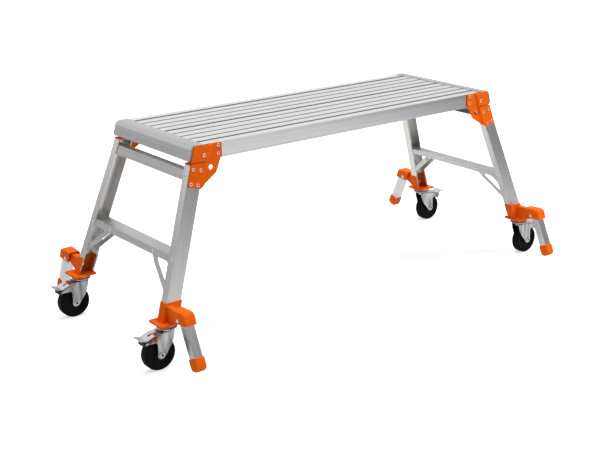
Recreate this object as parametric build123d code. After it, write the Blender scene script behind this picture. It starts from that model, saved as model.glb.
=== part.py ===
from build123d import *
import math
import os

# Mobile work platform: a low aluminium deck on two fixed leg frames, each with a step, two braked
# casters and two swing-out stabilisers. Millimetres, floor at z = 0, length along X, front at negative Y.
# The right rear corner is modelled, and mirrored to the other three.

# Deck
deck_height = 620.0         # floor to the lips of the end bars
deck_length = 1240.0        # nose to nose
strip_pitch = 43.6          # one strip of the deck's surface
strips_per_plank = 4
groove_width = 4.0
groove_depth = 2.0          # grooves within a plank
seam_depth = 2.4            # grooves between planks and rails
plank_height = 22.0
plank_skin = 3.2
rib_wall = 2.0
rib_foot = 8.0
rail_width = 36.6
rail_height = 47.0
rail_wall = 3.0
rail_line = 1.6             # width of the lines along a rail's face
rail_line_depth = 0.8
rail_line_inset = 6.0       # from a rail's top and bottom edges
cross_member_width = 40.0
cross_member_wall = 2.5
cross_member_spacing = 280.0

# End bars
lip_rise = 2.0              # over the strips
lip_round = 0.8
lip_reach = 54.0            # nose to the lip's inner edge
bar_seat = 35.0             # nose to the ends of the planks
bar_shelf = 62.0            # nose to the inner face of the shelf below the planks
bar_bottom = 45.0           # below the deck's top
bar_wall = 3.2
bar_crown = 13.5            # nose to the top corner before rounding
crown_radius = 18.0
nose_radius = 5.0
bar_bolt_x = 53.0           # nose to the end bolt
bar_bolt_drop = 31.5        # deck height to the end bolt
bar_bolt_radius = 4.0
boss_radius = 9.0
bolt_washer = 1.5
bolt_head = 5.0
bolt_head_ratio = 1.8       # across a hexagon's corners, to the bolt's diameter

# Corner plates, measured in from the nose and down from the deck height
plate = 4.0                 # thickness, and how far a plate steps outward across its crease
crease_in = 83.0            # crease, at the deck height
crease_rake = 0.31          # outward per unit down
crease_run = 5.0            # width of the step
column_in = 116.0           # inner edge, on the rail
column_drop = 3.0
column_low = 44.0
notch_in = 111.0            # relief at the inner end of the kink
notch_low = 47.5
heel_in = 91.3              # lower inner corner
heel_low = 87.5
heel_round = 15.0
toe_in = 30.0               # lower corners on the stile
toe_low = 125.5
toe_edge = 3.3              # from the stile's outer face
toe_rise = 11.0
toe_round = 5.0
lobe_in = 23.0              # upper lobe's outer corners
lobe_drop = 0.6
lobe_round = 9.0
lobe_rise_in = 48.0         # rise of the top edge past the lip's inner edge
lobe_rise_run = 8.0
lobe_low_in = 6.5
lobe_edge = 0.7             # lower lobe to the stile's outer face
small_round = 3.0
slit = 3.0                  # between upper and lower lobe
slit_in = 57.0
relief_radius = 2.6
hole_in = 75.0              # open hole
hole_low = 70.5
hole_radius = 7.5
flange_start = 10.0         # slit's end to the flange over the stile
flange_depth = 34.0         # in from the lobe's outer face

# Leg frames
leg_drop = 52.0             # deck height to the kink of the corner plates
leg_in = 7.3                # nose to a stile's outer face at the kink
leg_rake = 0.3464           # outward in X per unit down
leg_splay = 0.125           # outward in Y per unit down
stile_width = 48.0
stile_depth = 29.0
stile_wall = 2.5
crossbar_drop = 20.0        # kink to the crossbar's top
crossbar_height = 28.0
crossbar_flange = 22.0
crossbar_wall = 2.5
step_top = 317.0
step_lip = 20.0
step_wall = 2.5
tread_groove = 3.0
tread_groove_depth = 0.8
tread_grooves = 4
brace_width = 16.0
brace_thickness = 3.0
brace_in = 127.0            # from the middle to a brace's upper end
brace_drop = 12.0           # step top to that end
brace_low = 217.0           # height of the lower end
brace_edge = 16.0           # lower end to the stile's web
brace_step = 25.0           # from the upper end to the brace's outward step
brace_lap = 6.0

# Caster brackets
base_size = 75.0
base_thickness = 5.0
base_top = 140.0
swivel_in = 16.0            # swivel axis from a stile's outer face, at the base plate
swivel_set = 9.5            # and from its web
base_round = 5.0
sleeve_wall = 2.5
sleeve_height = 52.0
sleeve_bolt_rise = 26.0
sleeve_bolt_radius = 3.0
arm_width = 18.0
arm_wall = 3.0
arm_end = 11.0              # stabiliser's pivot in to the end of its arm
arm_chin = 9.0              # and down to the arm's lower edge there

# Stabilisers
swing_out = 80.0            # swivel axis to the stabiliser's pivot
swing_rise = 27.0           # base plate to that pivot
swing_bolt_radius = 3.5
swing_bolt_head = 3.0
tube_splay = 25.0           # degrees
tube_width = 28.0
tube_depth = 28.0
tube_wall = 2.0
tube_offset = 12.0          # pivot to the tube's axis
tube_below = 145.0          # pivot to the tube's lower end, along the tube
tube_open = 16.0            # pivot down to the end of the tube's inner wall
ear_radius = 9.0            # tube's ears round the pivot bolt
hood_wall = 3.0
hood_roof = 22.0            # pivot to the roof's top
hood_in = 30.0              # pivot in to the roof's inner edge
hood_low = 12.0             # pivot down to the lower edges of the cheeks
hood_low_in = 22.0
hood_round = 6.0
hood_lip_round = 2.0
foot_width = 36.0
foot_depth = 34.0
foot_height = 37.0
foot_floor = 5.0
foot_round = 6.0            # round the foot's sole

# Casters, with places along X given outward from the swivel axis
wheel_radius = 50.0
wheel_width = 30.0
tyre_round = 6.0
tyre_lead = 6.0             # slope of the tyre's side from the rim
rim_radius = 36.0
rim_inset = 2.0
hub_dish = 6.0              # half thickness of the hub's web
hub_length = 34.0
hub_boss = 12.0
hub_slope = 5.0
axle_radius = 5.0
axle_head_radius = 7.5
axle_head = 3.0
trail = 33.0
fork_gap = 3.0              # tyre to a fork cheek
fork_wall = 3.0
fork_plate = 4.0
press_radius = 5.0          # bend from the fork's roof to its cheeks
head_radius = 30.0
head_height = 5.0
head_bevel = 2.5
neck_radius = 22.0
neck_height = 3.2
crown_height = 8.5
crown_dish = 7.0
stem_radius = 6.0
stem_nut_radius = 11.0
stem_nut = 5.0
cheek_lean = 0.09           # inward per unit along X, past the bend of a cheek
cheek_bend = 14.5
cheek_top_in = 16.0         # inner edge of a cheek, from the roof down
cheek_waist_in = 12.0
cheek_waist_z = 98.0
cheek_knee_in = 4.0
cheek_knee_z = 76.0
knee_round = 12.0
fork_toe = 12.5             # radius round the axle
fork_toe_angle = 38.5       # degrees below the axle at which a cheek's inner edge meets that round
notch_x = 44.0              # outer edge of a cheek
notch_z = 91.0              # lower edge of its arm
notch_round = 8.0
arm_tip_x = 82.0
arm_tip_low = 92.0
arm_tip_high = 97.0
arm_bend_x = 52.0
arm_bend_z = 109.3
arm_start_z = 110.5
arm_tip_round = 2.0
roof_out = 31.0
pedal_x = 43.0              # pedal's pin
pedal_z = 105.5
pedal_hub = 4.5
pedal_pin_radius = 2.5
pedal_sheet = 2.5
pedal_half_width = 21.0
pedal_start = (33.0, 115.5)      # top face of the pedal, from the crown to the tip
pedal_bend = (52.0, 113.8)
pedal_valley = (77.0, 104.8)
pedal_tip = (99.5, 111.5)
pedal_round = 8.0
slot_x = 57.0               # slot through the pedal
slot_length = 13.0
slot_width = 7.0
block_gap = 3.5             # brake block to the tyre
block_angle = 44.0          # degrees above the axle
block_half_length = 7.0
block_half_width = 15.0
block_side = 9.0            # reach of the block either side of the pedal's valley

# Fits
running = 0.1               # radial clearance of a turning fit
side_gap = 0.3              # between faces that pass each other

# Worked out
deck_top = deck_height - lip_rise
nose = deck_length / 2
plank_width = strip_pitch * strips_per_plank
rail_face = plank_width + rail_width
plank_half = nose - bar_seat
shelf_top = deck_top - plank_height
bar_base = deck_height - bar_bottom
lobe_face = rail_face + 2 * plate
kink = deck_height - leg_drop
leg_out = nose - leg_in
crossbar_top = kink - crossbar_drop
base_bottom = base_top - base_thickness
hood_inner = tube_width + 2 * side_gap
hood_width = hood_inner + 2 * hood_wall
fork_inner = wheel_width / 2 + fork_gap
fork_outer = fork_inner + fork_wall
crown_top = base_bottom - head_height - neck_height - side_gap
fork_top = crown_top - crown_height


def stile_outer(z):
    """Outer face of a stile's outer flange at a height"""
    return leg_out + leg_rake * (kink - z)


def web_outer(z):
    """Outer face of a stile's web at a height"""
    return rail_face + plate + leg_splay * (kink - z)


swivel_x = stile_outer(base_top) - swivel_in
swivel_y = web_outer(base_top) - swivel_set
axle_x = swivel_x + trail
swing_x = stile_outer(base_top) - stile_width / 2
swing_y = swivel_y + swing_out
swing_z = base_top + swing_rise
arm_top = swing_z + hood_roof - hood_wall
lean = math.radians(tube_splay)


def polygon(*corners):
    """Closed outline through points, laid counter-clockwise so that outlines add and cut alike"""
    ends = zip(corners, corners[1:] + corners[:1])
    area = sum(a[0] * b[1] - b[0] * a[1] for a, b in ends)
    ordered = corners if area > 0 else corners[::-1]
    return Polygon(*ordered, align=None)


def outline(*corners):
    """Closed outline through corners given as place, place and rounding radius"""
    shape = polygon(*[(a, b) for a, b, _ in corners])
    for a, b, radius in corners:
        if radius > 0:
            shape = fillet(shape.vertices().sort_by_distance((a, b))[0], radius)
    return shape


def block(a0, a1, b0, b1):
    """Rectangle between two limits each way"""
    return Pos((a0 + a1) / 2, (b0 + b1) / 2) * Rectangle(abs(a1 - a0), abs(b1 - b0))


def along_x(shape, x0, x1):
    """Outline in Y and Z swept from x0 to x1"""
    face = (Plane(origin=(x0, 0, 0), x_dir=(0, 1, 0), z_dir=(1, 0, 0)) * shape).face()
    return Solid.extrude(face, Vector(x1 - x0, 0, 0))


def along_y(shape, y0, y1):
    """Outline in X and Z swept from y0 to y1"""
    face = (Plane(origin=(0, y0, 0), x_dir=(1, 0, 0), z_dir=(0, -1, 0)) * shape).face()
    return Solid.extrude(face, Vector(0, y1 - y0, 0))


def along_leg(shape, z0, z1):
    """Outline in X and Y swept up the raked and splayed direction of a stile"""
    face = (Pos(0, 0, z0) * shape).face()
    rise = z1 - z0
    return Solid.extrude(face, Vector(-leg_rake * rise, -leg_splay * rise, rise))


def turned(shape, x, y, z, direction):
    """Outline in radius and height turned about an axis through a point"""
    place = Plane(origin=(x, y, z), x_dir=(0, 1, 0) if direction[0] else (1, 0, 0), z_dir=direction)
    profile = Plane(origin=(0, 0, 0), x_dir=(1, 0, 0), z_dir=(0, -1, 0)) * shape
    return place.location * revolve(profile, axis=Axis.Z)


def from_nose(inward, drop):
    """Point in X and Z, in from the nose and down from the deck height"""
    return nose - inward, deck_height - drop


def from_swivel(place):
    """Point in X and Z, outward from the swivel axis and up from the floor"""
    return swivel_x + place[0], place[1]


# Deck pieces

def plank():
    """Grooved skin on footed ribs"""
    section = block(0, plank_width, deck_top - plank_skin, deck_top)
    for i in range(strips_per_plank + 1):
        y = i * strip_pitch
        rib = min(max(y, rib_wall / 2), plank_width - rib_wall / 2)
        foot = min(max(y, rib_foot / 2), plank_width - rib_foot / 2)
        section += block(rib - rib_wall / 2, rib + rib_wall / 2, shelf_top, deck_top)
        section += block(foot - rib_foot / 2, foot + rib_foot / 2, shelf_top, shelf_top + rib_wall)
        depth = groove_depth if 0 < i < strips_per_plank else seam_depth
        section -= Pos(y, deck_top) * Rectangle(groove_width, 2 * depth)
    return along_x(section, -plank_half, plank_half)


def side_rail():
    """Hollow rail with two lines along its face, coped over the shelves of the end bars"""
    low = deck_top - rail_height
    section = block(plank_width, rail_face, low, deck_top)
    section -= block(plank_width + rail_wall, rail_face - rail_wall, low + rail_wall, deck_top - rail_wall)
    section -= Pos(plank_width, deck_top) * Rectangle(groove_width, 2 * seam_depth)
    for z in (low + rail_line_inset, deck_top - rail_line_inset):
        section -= Pos(rail_face, z) * Rectangle(2 * rail_line_depth, rail_line)
    rail = along_x(section, -plank_half, plank_half)
    cope = along_x(block(plank_width - 1, rail_face + 1, low - 1, shelf_top), nose - bar_shelf, nose)
    return rail - cope - cope.mirror(Plane.YZ)


def end_bar():
    """Nose bar: lip over the planks, rounded nose, shelf with a screw channel"""
    seat = nose - bar_seat
    shelf = nose - bar_shelf
    lip = nose - lip_reach
    bolt_x = nose - bar_bolt_x
    section = outline(
        (lip, deck_top, 0),
        (lip, deck_height, lip_round),
        (nose - bar_crown, deck_height, crown_radius),
        (nose, bar_base, nose_radius),
        (shelf, bar_base, 0),
        (shelf, shelf_top, 0),
        (seat, shelf_top, 0),
        (seat, deck_top, 0),
    )
    cavity = outline(
        (seat + bar_wall, deck_height - bar_wall, 0),
        (nose - bar_crown - bar_wall, deck_height - bar_wall, crown_radius - bar_wall),
        (nose - bar_wall - lip_round, bar_base + bar_wall, nose_radius - bar_wall),
        (bolt_x + boss_radius, bar_base + bar_wall, 0),
        (bolt_x + boss_radius, shelf_top - bar_wall, 0),
        (seat + bar_wall, shelf_top - bar_wall, 0),
    )
    section -= cavity
    section -= Pos(bolt_x, deck_height - bar_bolt_drop) * Circle(bar_bolt_radius)
    return along_y(section, -rail_face - plate, rail_face + plate)


def cross_member(x):
    """Channel under the planks, open below"""
    half = cross_member_width / 2
    low = deck_top - rail_height + rail_wall
    section = block(x - half, x + half, low, shelf_top)
    inner = half - cross_member_wall
    section -= block(x - inner, x + inner, low, shelf_top - cross_member_wall)
    return along_y(section, -plank_width, plank_width)


def plate_sheet():
    """Sheet with one slanted step, upright above the kink and splayed with the stiles below it"""
    step_x = nose - crease_in + crease_rake * leg_drop
    near = step_x - column_in
    far = step_x + column_in
    section = polygon(
        (near, rail_face),
        (step_x, rail_face),
        (step_x + crease_run, rail_face + plate),
        (far, rail_face + plate),
        (far, lobe_face),
        (step_x + crease_run, lobe_face),
        (step_x, rail_face + plate),
        (near, rail_face + plate),
    )
    face = (Pos(0, 0, kink) * section).face()
    upper = Solid.extrude(face, Vector(-crease_rake * leg_drop, 0, leg_drop))
    return upper + Solid.extrude(face, Vector(crease_rake * toe_low, leg_splay * toe_low, -toe_low))


def corner_plate():
    """One pressed plate on the rail, the end bar and the stile, slit between its lobes, with a flange"""
    bolt = from_nose(bar_bolt_x, bar_bolt_drop)
    slit_x = nose - slit_in
    toe_top = deck_height - toe_low + toe_rise
    face = outline(
        (*from_nose(column_in, column_drop), small_round),
        (*from_nose(lobe_rise_in, column_drop), 0),
        (*from_nose(lobe_rise_in - lobe_rise_run, lobe_drop), 0),
        (*from_nose(lobe_in, lobe_drop), lobe_round),
        (nose - lobe_low_in, kink + slit, small_round),
        (slit_x, kink + slit, 0),
        (slit_x, kink, 0),
        (stile_outer(kink) - lobe_edge, kink, 0),
        (stile_outer(toe_top) - toe_edge, toe_top, toe_round),
        (*from_nose(toe_in, toe_low), toe_round),
        (*from_nose(heel_in, heel_low), heel_round),
        (*from_nose(notch_in, notch_low), 0),
        (*from_nose(column_in, column_low), small_round),
    )
    face -= Pos(slit_x, kink + slit / 2) * Circle(relief_radius)
    face -= Pos(*bolt) * Circle(bar_bolt_radius)
    face -= Pos(*from_nose(hole_in, hole_low)) * Circle(hole_radius)
    body = along_y(face, rail_face - plate, lobe_face + leg_splay * toe_low) & plate_sheet()
    flange = block(slit_x + flange_start, stile_outer(kink) - lobe_edge, kink - plate, kink)
    return body + along_y(flange, lobe_face - flange_depth, lobe_face - plate / 2)


def end_bolt():
    """Hex bolt with a washer in the end bar's screw channel"""
    centre = Pos(*from_nose(bar_bolt_x, bar_bolt_drop))
    head = lobe_face + bolt_washer
    bolt = along_y(centre * Circle(bar_bolt_radius), lobe_face - 6 * bar_bolt_radius, lobe_face)
    bolt += along_y(centre * Circle(2 * bar_bolt_radius), lobe_face, head)
    hexagon = centre * RegularPolygon(bolt_head_ratio * bar_bolt_radius, 6)
    return bolt + along_y(hexagon, head, head + bolt_head)


# Leg pieces

def raked_channel(grow, wall, z0, z1):
    """C channel in the direction of a stile, larger than it by grow, open inward"""
    x1 = stile_outer(z0) + grow
    x0 = stile_outer(z0) - stile_width - grow
    y1 = web_outer(z0) + grow
    y0 = web_outer(z0) - stile_depth
    section = block(x0, x1, y0, y1) - block(x0 + wall, x1 - wall, y0 - 1, y1 - wall)
    return along_leg(section, z0, z1)


def crossbar():
    """Channel between the stiles, its web on their outer flanges"""
    low = crossbar_top - crossbar_height

    def face(z):
        return stile_outer(z) - stile_wall

    section = polygon(
        (face(low), low),
        (face(crossbar_top), crossbar_top),
        (face(crossbar_top) - crossbar_flange, crossbar_top),
        (face(crossbar_top) - crossbar_flange, crossbar_top - crossbar_wall),
        (face(crossbar_top - crossbar_wall) - crossbar_wall, crossbar_top - crossbar_wall),
        (face(low + crossbar_wall) - crossbar_wall, low + crossbar_wall),
        (face(low) - crossbar_flange, low + crossbar_wall),
        (face(low) - crossbar_flange, low),
    )
    end = web_outer(crossbar_top) - stile_wall
    return along_y(section, -end, end)


def step():
    """Channel step between the stiles, lips down, with a grooved tread"""
    low = step_top - step_lip
    skin = step_top - step_wall

    def outer(z):
        return stile_outer(z) - stile_wall

    def inner(z):
        return stile_outer(z) - stile_width + stile_wall

    section = polygon(
        (outer(low), low),
        (outer(step_top), step_top),
        (inner(step_top), step_top),
        (inner(low), low),
        (inner(low) + step_wall, low),
        (inner(skin) + step_wall, skin),
        (outer(skin) - step_wall, skin),
        (outer(low) - step_wall, low),
    )
    pitch = (outer(step_top) - inner(step_top)) / (tread_grooves + 1)
    for i in range(tread_grooves):
        x = inner(step_top) + (i + 1) * pitch
        section -= Pos(x, step_top) * Rectangle(tread_groove, 2 * tread_groove_depth)
    end = web_outer(step_top) - stile_wall
    return along_y(section, -end, end)


def brace(inner_side):
    """Flat bar from the inside of a step lip, stepping out to the inside of a stile's flange"""
    top = (brace_in, step_top - brace_drop)
    low = (web_outer(brace_low) - brace_edge, brace_low)
    run = math.hypot(low[0] - top[0], low[1] - top[1])
    turn = math.degrees(math.atan2(low[1] - top[1], low[0] - top[0]))
    place = Pos(*top) * Rot(0, 0, turn)
    half = brace_width / 2
    upper = place * (block(0, brace_step + brace_lap, -half, half) + Circle(half))
    lower = place * (block(brace_step, run, -half, half) + Pos(run, 0) * Circle(half))

    def slab(offset):
        """Layer beside a flange, offset inward from it"""
        near = stile_wall + offset
        far = near + brace_thickness
        if inner_side:
            near = stile_width - near
            far = stile_width - far
        z0 = brace_low - brace_width
        z1 = step_top
        corners = [(stile_outer(z0) - near, z0), (stile_outer(z0) - far, z0)]
        corners += [(stile_outer(z1) - far, z1), (stile_outer(z1) - near, z1)]
        return along_y(polygon(*corners), 0, web_outer(0))

    reach = stile_outer(0)
    bar = along_x(upper, 0, reach) & slab(step_wall)
    return bar + (along_x(lower, 0, reach) & slab(0))


def caster_bracket():
    """Base plate, three-sided sleeve round the stile and the stabiliser's arm, as one weldment"""
    half = base_size / 2
    base = block(swivel_x - half, swivel_x + half, swivel_y - half, swivel_y + half)
    base = fillet(base.vertices(), base_round)
    body = Solid.extrude((Pos(0, 0, base_bottom) * base).face(), Vector(0, 0, base_thickness))
    body += raked_channel(sleeve_wall, sleeve_wall, base_top, base_top + sleeve_height)
    body -= sleeve_bore()
    start = sleeve_wall / 2
    side = polygon(
        (web_outer(base_top) + start, base_top),
        (web_outer(arm_top) + start, arm_top),
        (swing_y - arm_end, arm_top),
        (swing_y - arm_end, swing_z - arm_chin),
        (swivel_y + half, base_top),
    )
    arm = along_x(side, swing_x - arm_width / 2, swing_x + arm_width / 2)
    inner = arm_width / 2 - arm_wall
    under = block(web_outer(arm_top) + sleeve_wall, swing_y, base_top, arm_top - arm_wall)
    arm -= along_x(under, swing_x - inner, swing_x + inner)
    return body + arm


def sleeve_bore():
    """Bore through the webs of the stile and its sleeve"""
    z = base_top + sleeve_bolt_rise
    face = web_outer(z)
    return along_y(Pos(swing_x, z) * Circle(sleeve_bolt_radius), face - stile_depth, face + stile_depth)


def sleeve_bolt():
    """Bolt through the webs of the stile and its sleeve, head within the arm, nut within the stile"""
    z = base_top + sleeve_bolt_rise
    place = Pos(swing_x, z)
    hex_radius = bolt_head_ratio * sleeve_bolt_radius
    slant = hex_radius * leg_splay
    out = web_outer(z) + sleeve_wall + slant
    back = web_outer(z) - stile_wall - slant
    hexagon = place * RegularPolygon(hex_radius, 6)
    bolt = along_y(place * Circle(sleeve_bolt_radius), back - bolt_head, out)
    bolt += along_y(hexagon, out, out + bolt_head)
    return bolt + along_y(hexagon, back - bolt_head, back)


def swing_bolt():
    """Pivot bolt of a stabiliser, fast in the hood's cheeks"""
    place = Pos(swing_y, swing_z)
    out = hood_width / 2
    hexagon = place * RegularPolygon(bolt_head_ratio * swing_bolt_radius, 6)
    bolt = along_x(place * Circle(swing_bolt_radius), swing_x - out, swing_x + out)
    bolt += along_x(hexagon, swing_x + out, swing_x + out + swing_bolt_head)
    return bolt + along_x(hexagon, swing_x - out - swing_bolt_head, swing_x - out)


def swivel_head():
    """Fixed half of the swivel: a bevelled plate, a narrower race, the stem and its nut"""
    low = base_bottom - head_height
    neck_low = low - neck_height
    nut_top = fork_top - fork_plate - side_gap
    section = polygon(
        (0, base_bottom),
        (head_radius - head_bevel, base_bottom),
        (head_radius, base_bottom - head_bevel),
        (head_radius, low),
        (neck_radius, low),
        (neck_radius, neck_low),
        (stem_radius, neck_low),
        (stem_radius, nut_top),
        (stem_nut_radius, nut_top),
        (stem_nut_radius, nut_top - stem_nut),
        (0, nut_top - stem_nut),
    )
    return turned(section, swivel_x, swivel_y, 0, (0, 0, 1))


# Caster pieces

def fork_section(x, half):
    """Pressed sheet bent down over both sides of the wheel, at a place along X"""
    low = wheel_radius - 2 * fork_toe
    inner = half - fork_wall
    section = outline(
        (-half, low, 0),
        (half, low, 0),
        (half, fork_top, press_radius),
        (-half, fork_top, press_radius),
    )
    section -= outline(
        (-inner, low, 0),
        (inner, low, 0),
        (inner, fork_top - fork_plate, press_radius - fork_wall),
        (-inner, fork_top - fork_plate, press_radius - fork_wall),
    )
    place = Plane(origin=(x, swivel_y, 0), x_dir=(0, 1, 0), z_dir=(1, 0, 0))
    return (place * section).face()


def fork():
    """Swivel crown on a pressed roof, with two cheeks that reach out as arms past the brake"""
    bend_x = swivel_x + cheek_bend
    start_x = swivel_x - cheek_top_in
    pinch = cheek_lean * (cheek_bend + cheek_top_in)
    toe = math.radians(fork_toe_angle)
    flat = fork_section(bend_x, fork_outer)
    sheet = Solid.extrude(flat, Vector(arm_tip_x - cheek_bend, 0, 0))
    leaning = fork_section(start_x, fork_outer - pinch)
    sheet += Solid.make_loft([leaning.outer_wire(), flat.outer_wire()], ruled=True)
    side = outline(
        (start_x, fork_top, 0),
        (swivel_x - cheek_waist_in, cheek_waist_z, knee_round),
        (swivel_x - cheek_knee_in, cheek_knee_z, knee_round),
        (axle_x - fork_toe * math.cos(toe), wheel_radius - fork_toe * math.sin(toe), 0),
        (swivel_x + notch_x, wheel_radius, 0),
        (swivel_x + notch_x, notch_z, notch_round),
        (swivel_x + arm_tip_x, arm_tip_low, arm_tip_round),
        (swivel_x + arm_tip_x, arm_tip_high, arm_tip_round),
        (swivel_x + arm_bend_x, arm_bend_z, knee_round),
        (swivel_x + roof_out, arm_start_z, arm_tip_round),
        (swivel_x + roof_out, fork_top, 0),
    )
    side += Pos(axle_x, wheel_radius) * Circle(fork_toe)
    side -= Pos(axle_x, wheel_radius) * Circle(axle_radius)
    side -= Pos(swivel_x + pedal_x, pedal_z) * Circle(pedal_pin_radius + running)
    body = along_y(side, swivel_y - fork_outer, swivel_y + fork_outer) & sheet
    crown = polygon(
        (0, fork_top - fork_plate / 2),
        (fork_inner - press_radius, fork_top - fork_plate / 2),
        (fork_inner - press_radius, fork_top),
        (head_radius - crown_dish, fork_top),
        (head_radius, fork_top + crown_dish / 2),
        (head_radius, crown_top - head_bevel),
        (head_radius - head_bevel, crown_top),
        (0, crown_top),
    )
    body += turned(crown, swivel_x, swivel_y, 0, (0, 0, 1))
    stem = block(0, stem_radius + running, fork_top - 2 * fork_plate, base_top)
    return body - turned(stem, swivel_x, swivel_y, 0, (0, 0, 1))


def axle():
    """Headed axle, fast in both cheeks"""
    head = fork_outer + axle_head
    rim = axle_head_radius - axle_head / 2
    section = polygon(
        (0, -head),
        (rim, -head),
        (axle_head_radius, -fork_outer),
        (axle_radius, -fork_outer),
        (axle_radius, fork_outer),
        (axle_head_radius, fork_outer),
        (rim, head),
        (0, head),
    )
    return turned(section, axle_x, swivel_y, wheel_radius, (0, 1, 0))


def wheel():
    """Tyre with rounded shoulders on a dished hub"""
    half = wheel_width / 2
    seat = half - rim_inset
    tyre = outline(
        (rim_radius, -seat, 0),
        (rim_radius + tyre_lead, -half, 0),
        (wheel_radius, -half, tyre_round),
        (wheel_radius, half, tyre_round),
        (rim_radius + tyre_lead, half, 0),
        (rim_radius, seat, 0),
    )
    bore = axle_radius + running
    hub = polygon(
        (bore, -hub_length / 2),
        (hub_boss, -hub_length / 2),
        (hub_boss + rim_inset, -hub_dish),
        (rim_radius - hub_slope, -hub_dish),
        (rim_radius, -seat),
        (rim_radius, seat),
        (rim_radius - hub_slope, hub_dish),
        (hub_boss + rim_inset, hub_dish),
        (hub_boss, hub_length / 2),
        (bore, hub_length / 2),
    )
    return [turned(shape, axle_x, swivel_y, wheel_radius, (0, 1, 0)) for shape in (tyre, hub)]


def pedal_lever():
    """Side of the pedal's bent sheet, in X and Z"""
    top = [from_swivel(place) for place in (pedal_start, pedal_bend, pedal_valley, pedal_tip)]
    low = [(x, z - pedal_sheet) for x, z in top]
    rounds = (0, pedal_round, pedal_round, 0)
    corners = [(x, z, r) for (x, z), r in zip(top, rounds)]
    corners += [(x, z, r) for (x, z), r in zip(low[::-1], rounds)]
    return outline(*corners)


def pedal():
    """Bent and slotted brake pedal with its hub and pin"""
    hub_half = fork_inner - side_gap
    centre = Pos(swivel_x + pedal_x, pedal_z)
    stem = block(-pedal_hub, pedal_hub, 0, pedal_bend[1] - pedal_sheet / 2 - pedal_z)
    body = along_y(pedal_lever(), swivel_y - pedal_half_width, swivel_y + pedal_half_width)
    slot = block(slot_x - slot_length / 2, slot_x + slot_length / 2, pedal_z, fork_top)
    slot_half = slot_width / 2
    body -= along_y(Pos(swivel_x, 0) * slot, swivel_y - slot_half, swivel_y + slot_half)
    body += along_y(centre * (stem + Circle(pedal_hub)), swivel_y - hub_half, swivel_y + hub_half)
    pin = centre * Circle(pedal_pin_radius)
    return body + along_y(pin, swivel_y - fork_outer, swivel_y + fork_outer)


def brake_block():
    """Rubber block under the pedal's valley, facing the tyre"""
    angle = math.radians(block_angle)
    out = (math.cos(angle), math.sin(angle))
    face_x = axle_x + (wheel_radius + block_gap) * out[0]
    face_z = wheel_radius + (wheel_radius + block_gap) * out[1]
    valley_x, valley_z = from_swivel(pedal_valley)
    top = valley_z - pedal_sheet / 2
    rise = block_side * (pedal_bend[1] - pedal_valley[1]) / (pedal_valley[0] - pedal_bend[0])
    fall = block_side * (pedal_tip[1] - pedal_valley[1]) / (pedal_tip[0] - pedal_valley[0])
    side = polygon(
        (face_x - block_half_length * out[1], face_z + block_half_length * out[0]),
        (face_x + block_half_length * out[1], face_z - block_half_length * out[0]),
        (valley_x + block_side, face_z),
        (valley_x + block_side, top + fall),
        (valley_x, top),
        (valley_x - block_side, top + rise),
    )
    body = along_y(side, swivel_y - block_half_width, swivel_y + block_half_width)
    return body - along_y(pedal_lever(), swivel_y - pedal_half_width, swivel_y + pedal_half_width)


# Stabiliser pieces, with places given from the pivot, out across the splayed tube and up along it

def hood_face(z, inset):
    """Y at a height on the hood's outer wall, inset from its face; the splayed tube rests against it"""
    out = tube_offset + tube_depth / 2 + side_gap + hood_wall - inset
    return swing_y + (out - (z - swing_z) * math.sin(lean)) / math.cos(lean)


def hood():
    """Cast hood on the end of the arm: a roof, two cheeks and a sloping outer wall that stops the tube"""
    roof = arm_top + hood_wall
    low = swing_z - hood_low
    deep = low - hood_wall
    side = outline(
        (swing_y - hood_in, roof, hood_lip_round),
        (hood_face(roof, 0), roof, hood_round),
        (hood_face(low, 0), low, hood_lip_round),
        (swing_y - hood_low_in, low, hood_round),
    )
    pocket = polygon(
        (hood_face(arm_top, hood_wall), arm_top),
        (hood_face(deep, hood_wall), deep),
        (swing_y - 2 * hood_in, deep),
        (swing_y - 2 * hood_in, arm_top),
    )
    body = along_x(side, swing_x - hood_width / 2, swing_x + hood_width / 2)
    body -= along_x(pocket, swing_x - hood_inner / 2, swing_x + hood_inner / 2)
    bore = Pos(swing_y, swing_z) * Circle(swing_bolt_radius)
    return body - along_x(bore, swing_x - hood_width, swing_x + hood_width)


def tube():
    """Square tube with ears on the pivot bolt, its inner wall cut away below them"""
    inner = tube_offset - tube_depth / 2
    outer = tube_offset + tube_depth / 2
    past = 2 * ear_radius
    side = block(inner, outer, -tube_below, 0) + Circle(ear_radius)
    side -= Circle(swing_bolt_radius + running)
    hollow = block(inner + tube_wall, outer - tube_wall, -tube_below - past, past)
    hollow += block(-past, outer - tube_wall, -tube_open, past)
    place = Pos(swing_y, swing_z) * Rot(0, 0, tube_splay)
    body = along_x(place * side, swing_x - tube_width / 2, swing_x + tube_width / 2)
    clear = tube_width / 2 - tube_wall
    return body - along_x(place * hollow, swing_x - clear, swing_x + clear)


def foot():
    """Cap over the tube's lower end, with a rounded sole"""
    up = (0, -math.sin(lean), math.cos(lean))
    axis = Plane(origin=(swing_x, swing_y, swing_z), x_dir=(1, 0, 0), z_dir=up)
    low = -tube_below - foot_floor
    cap = Pos(0, tube_offset, low + foot_height / 2) * Box(foot_width, foot_depth, foot_height)
    cap = fillet(cap.faces().sort_by(Axis.Z)[0].edges(), foot_round)
    cap -= Pos(0, tube_offset, -tube_below / 2) * Box(tube_width, tube_depth, tube_below)
    return axis.location * cap


# Nodes

def corner(shape, front, left):
    """The right rear piece at another corner"""
    if front:
        shape = shape.mirror(Plane.XZ)
    if left:
        shape = shape.mirror(Plane.YZ)
    return shape


def solids(shapes):
    """Every solid of one shape or of a list of shapes"""
    if not isinstance(shapes, list):
        shapes = [shapes]
    return [solid for shape in shapes for solid in shape.solids()]


def at_ends(shape_front_rear, left):
    """Front and rear copies at one end, as one list"""
    return [corner(s, front, left) for front in (True, False) for s in solids(shape_front_rear)]


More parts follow.
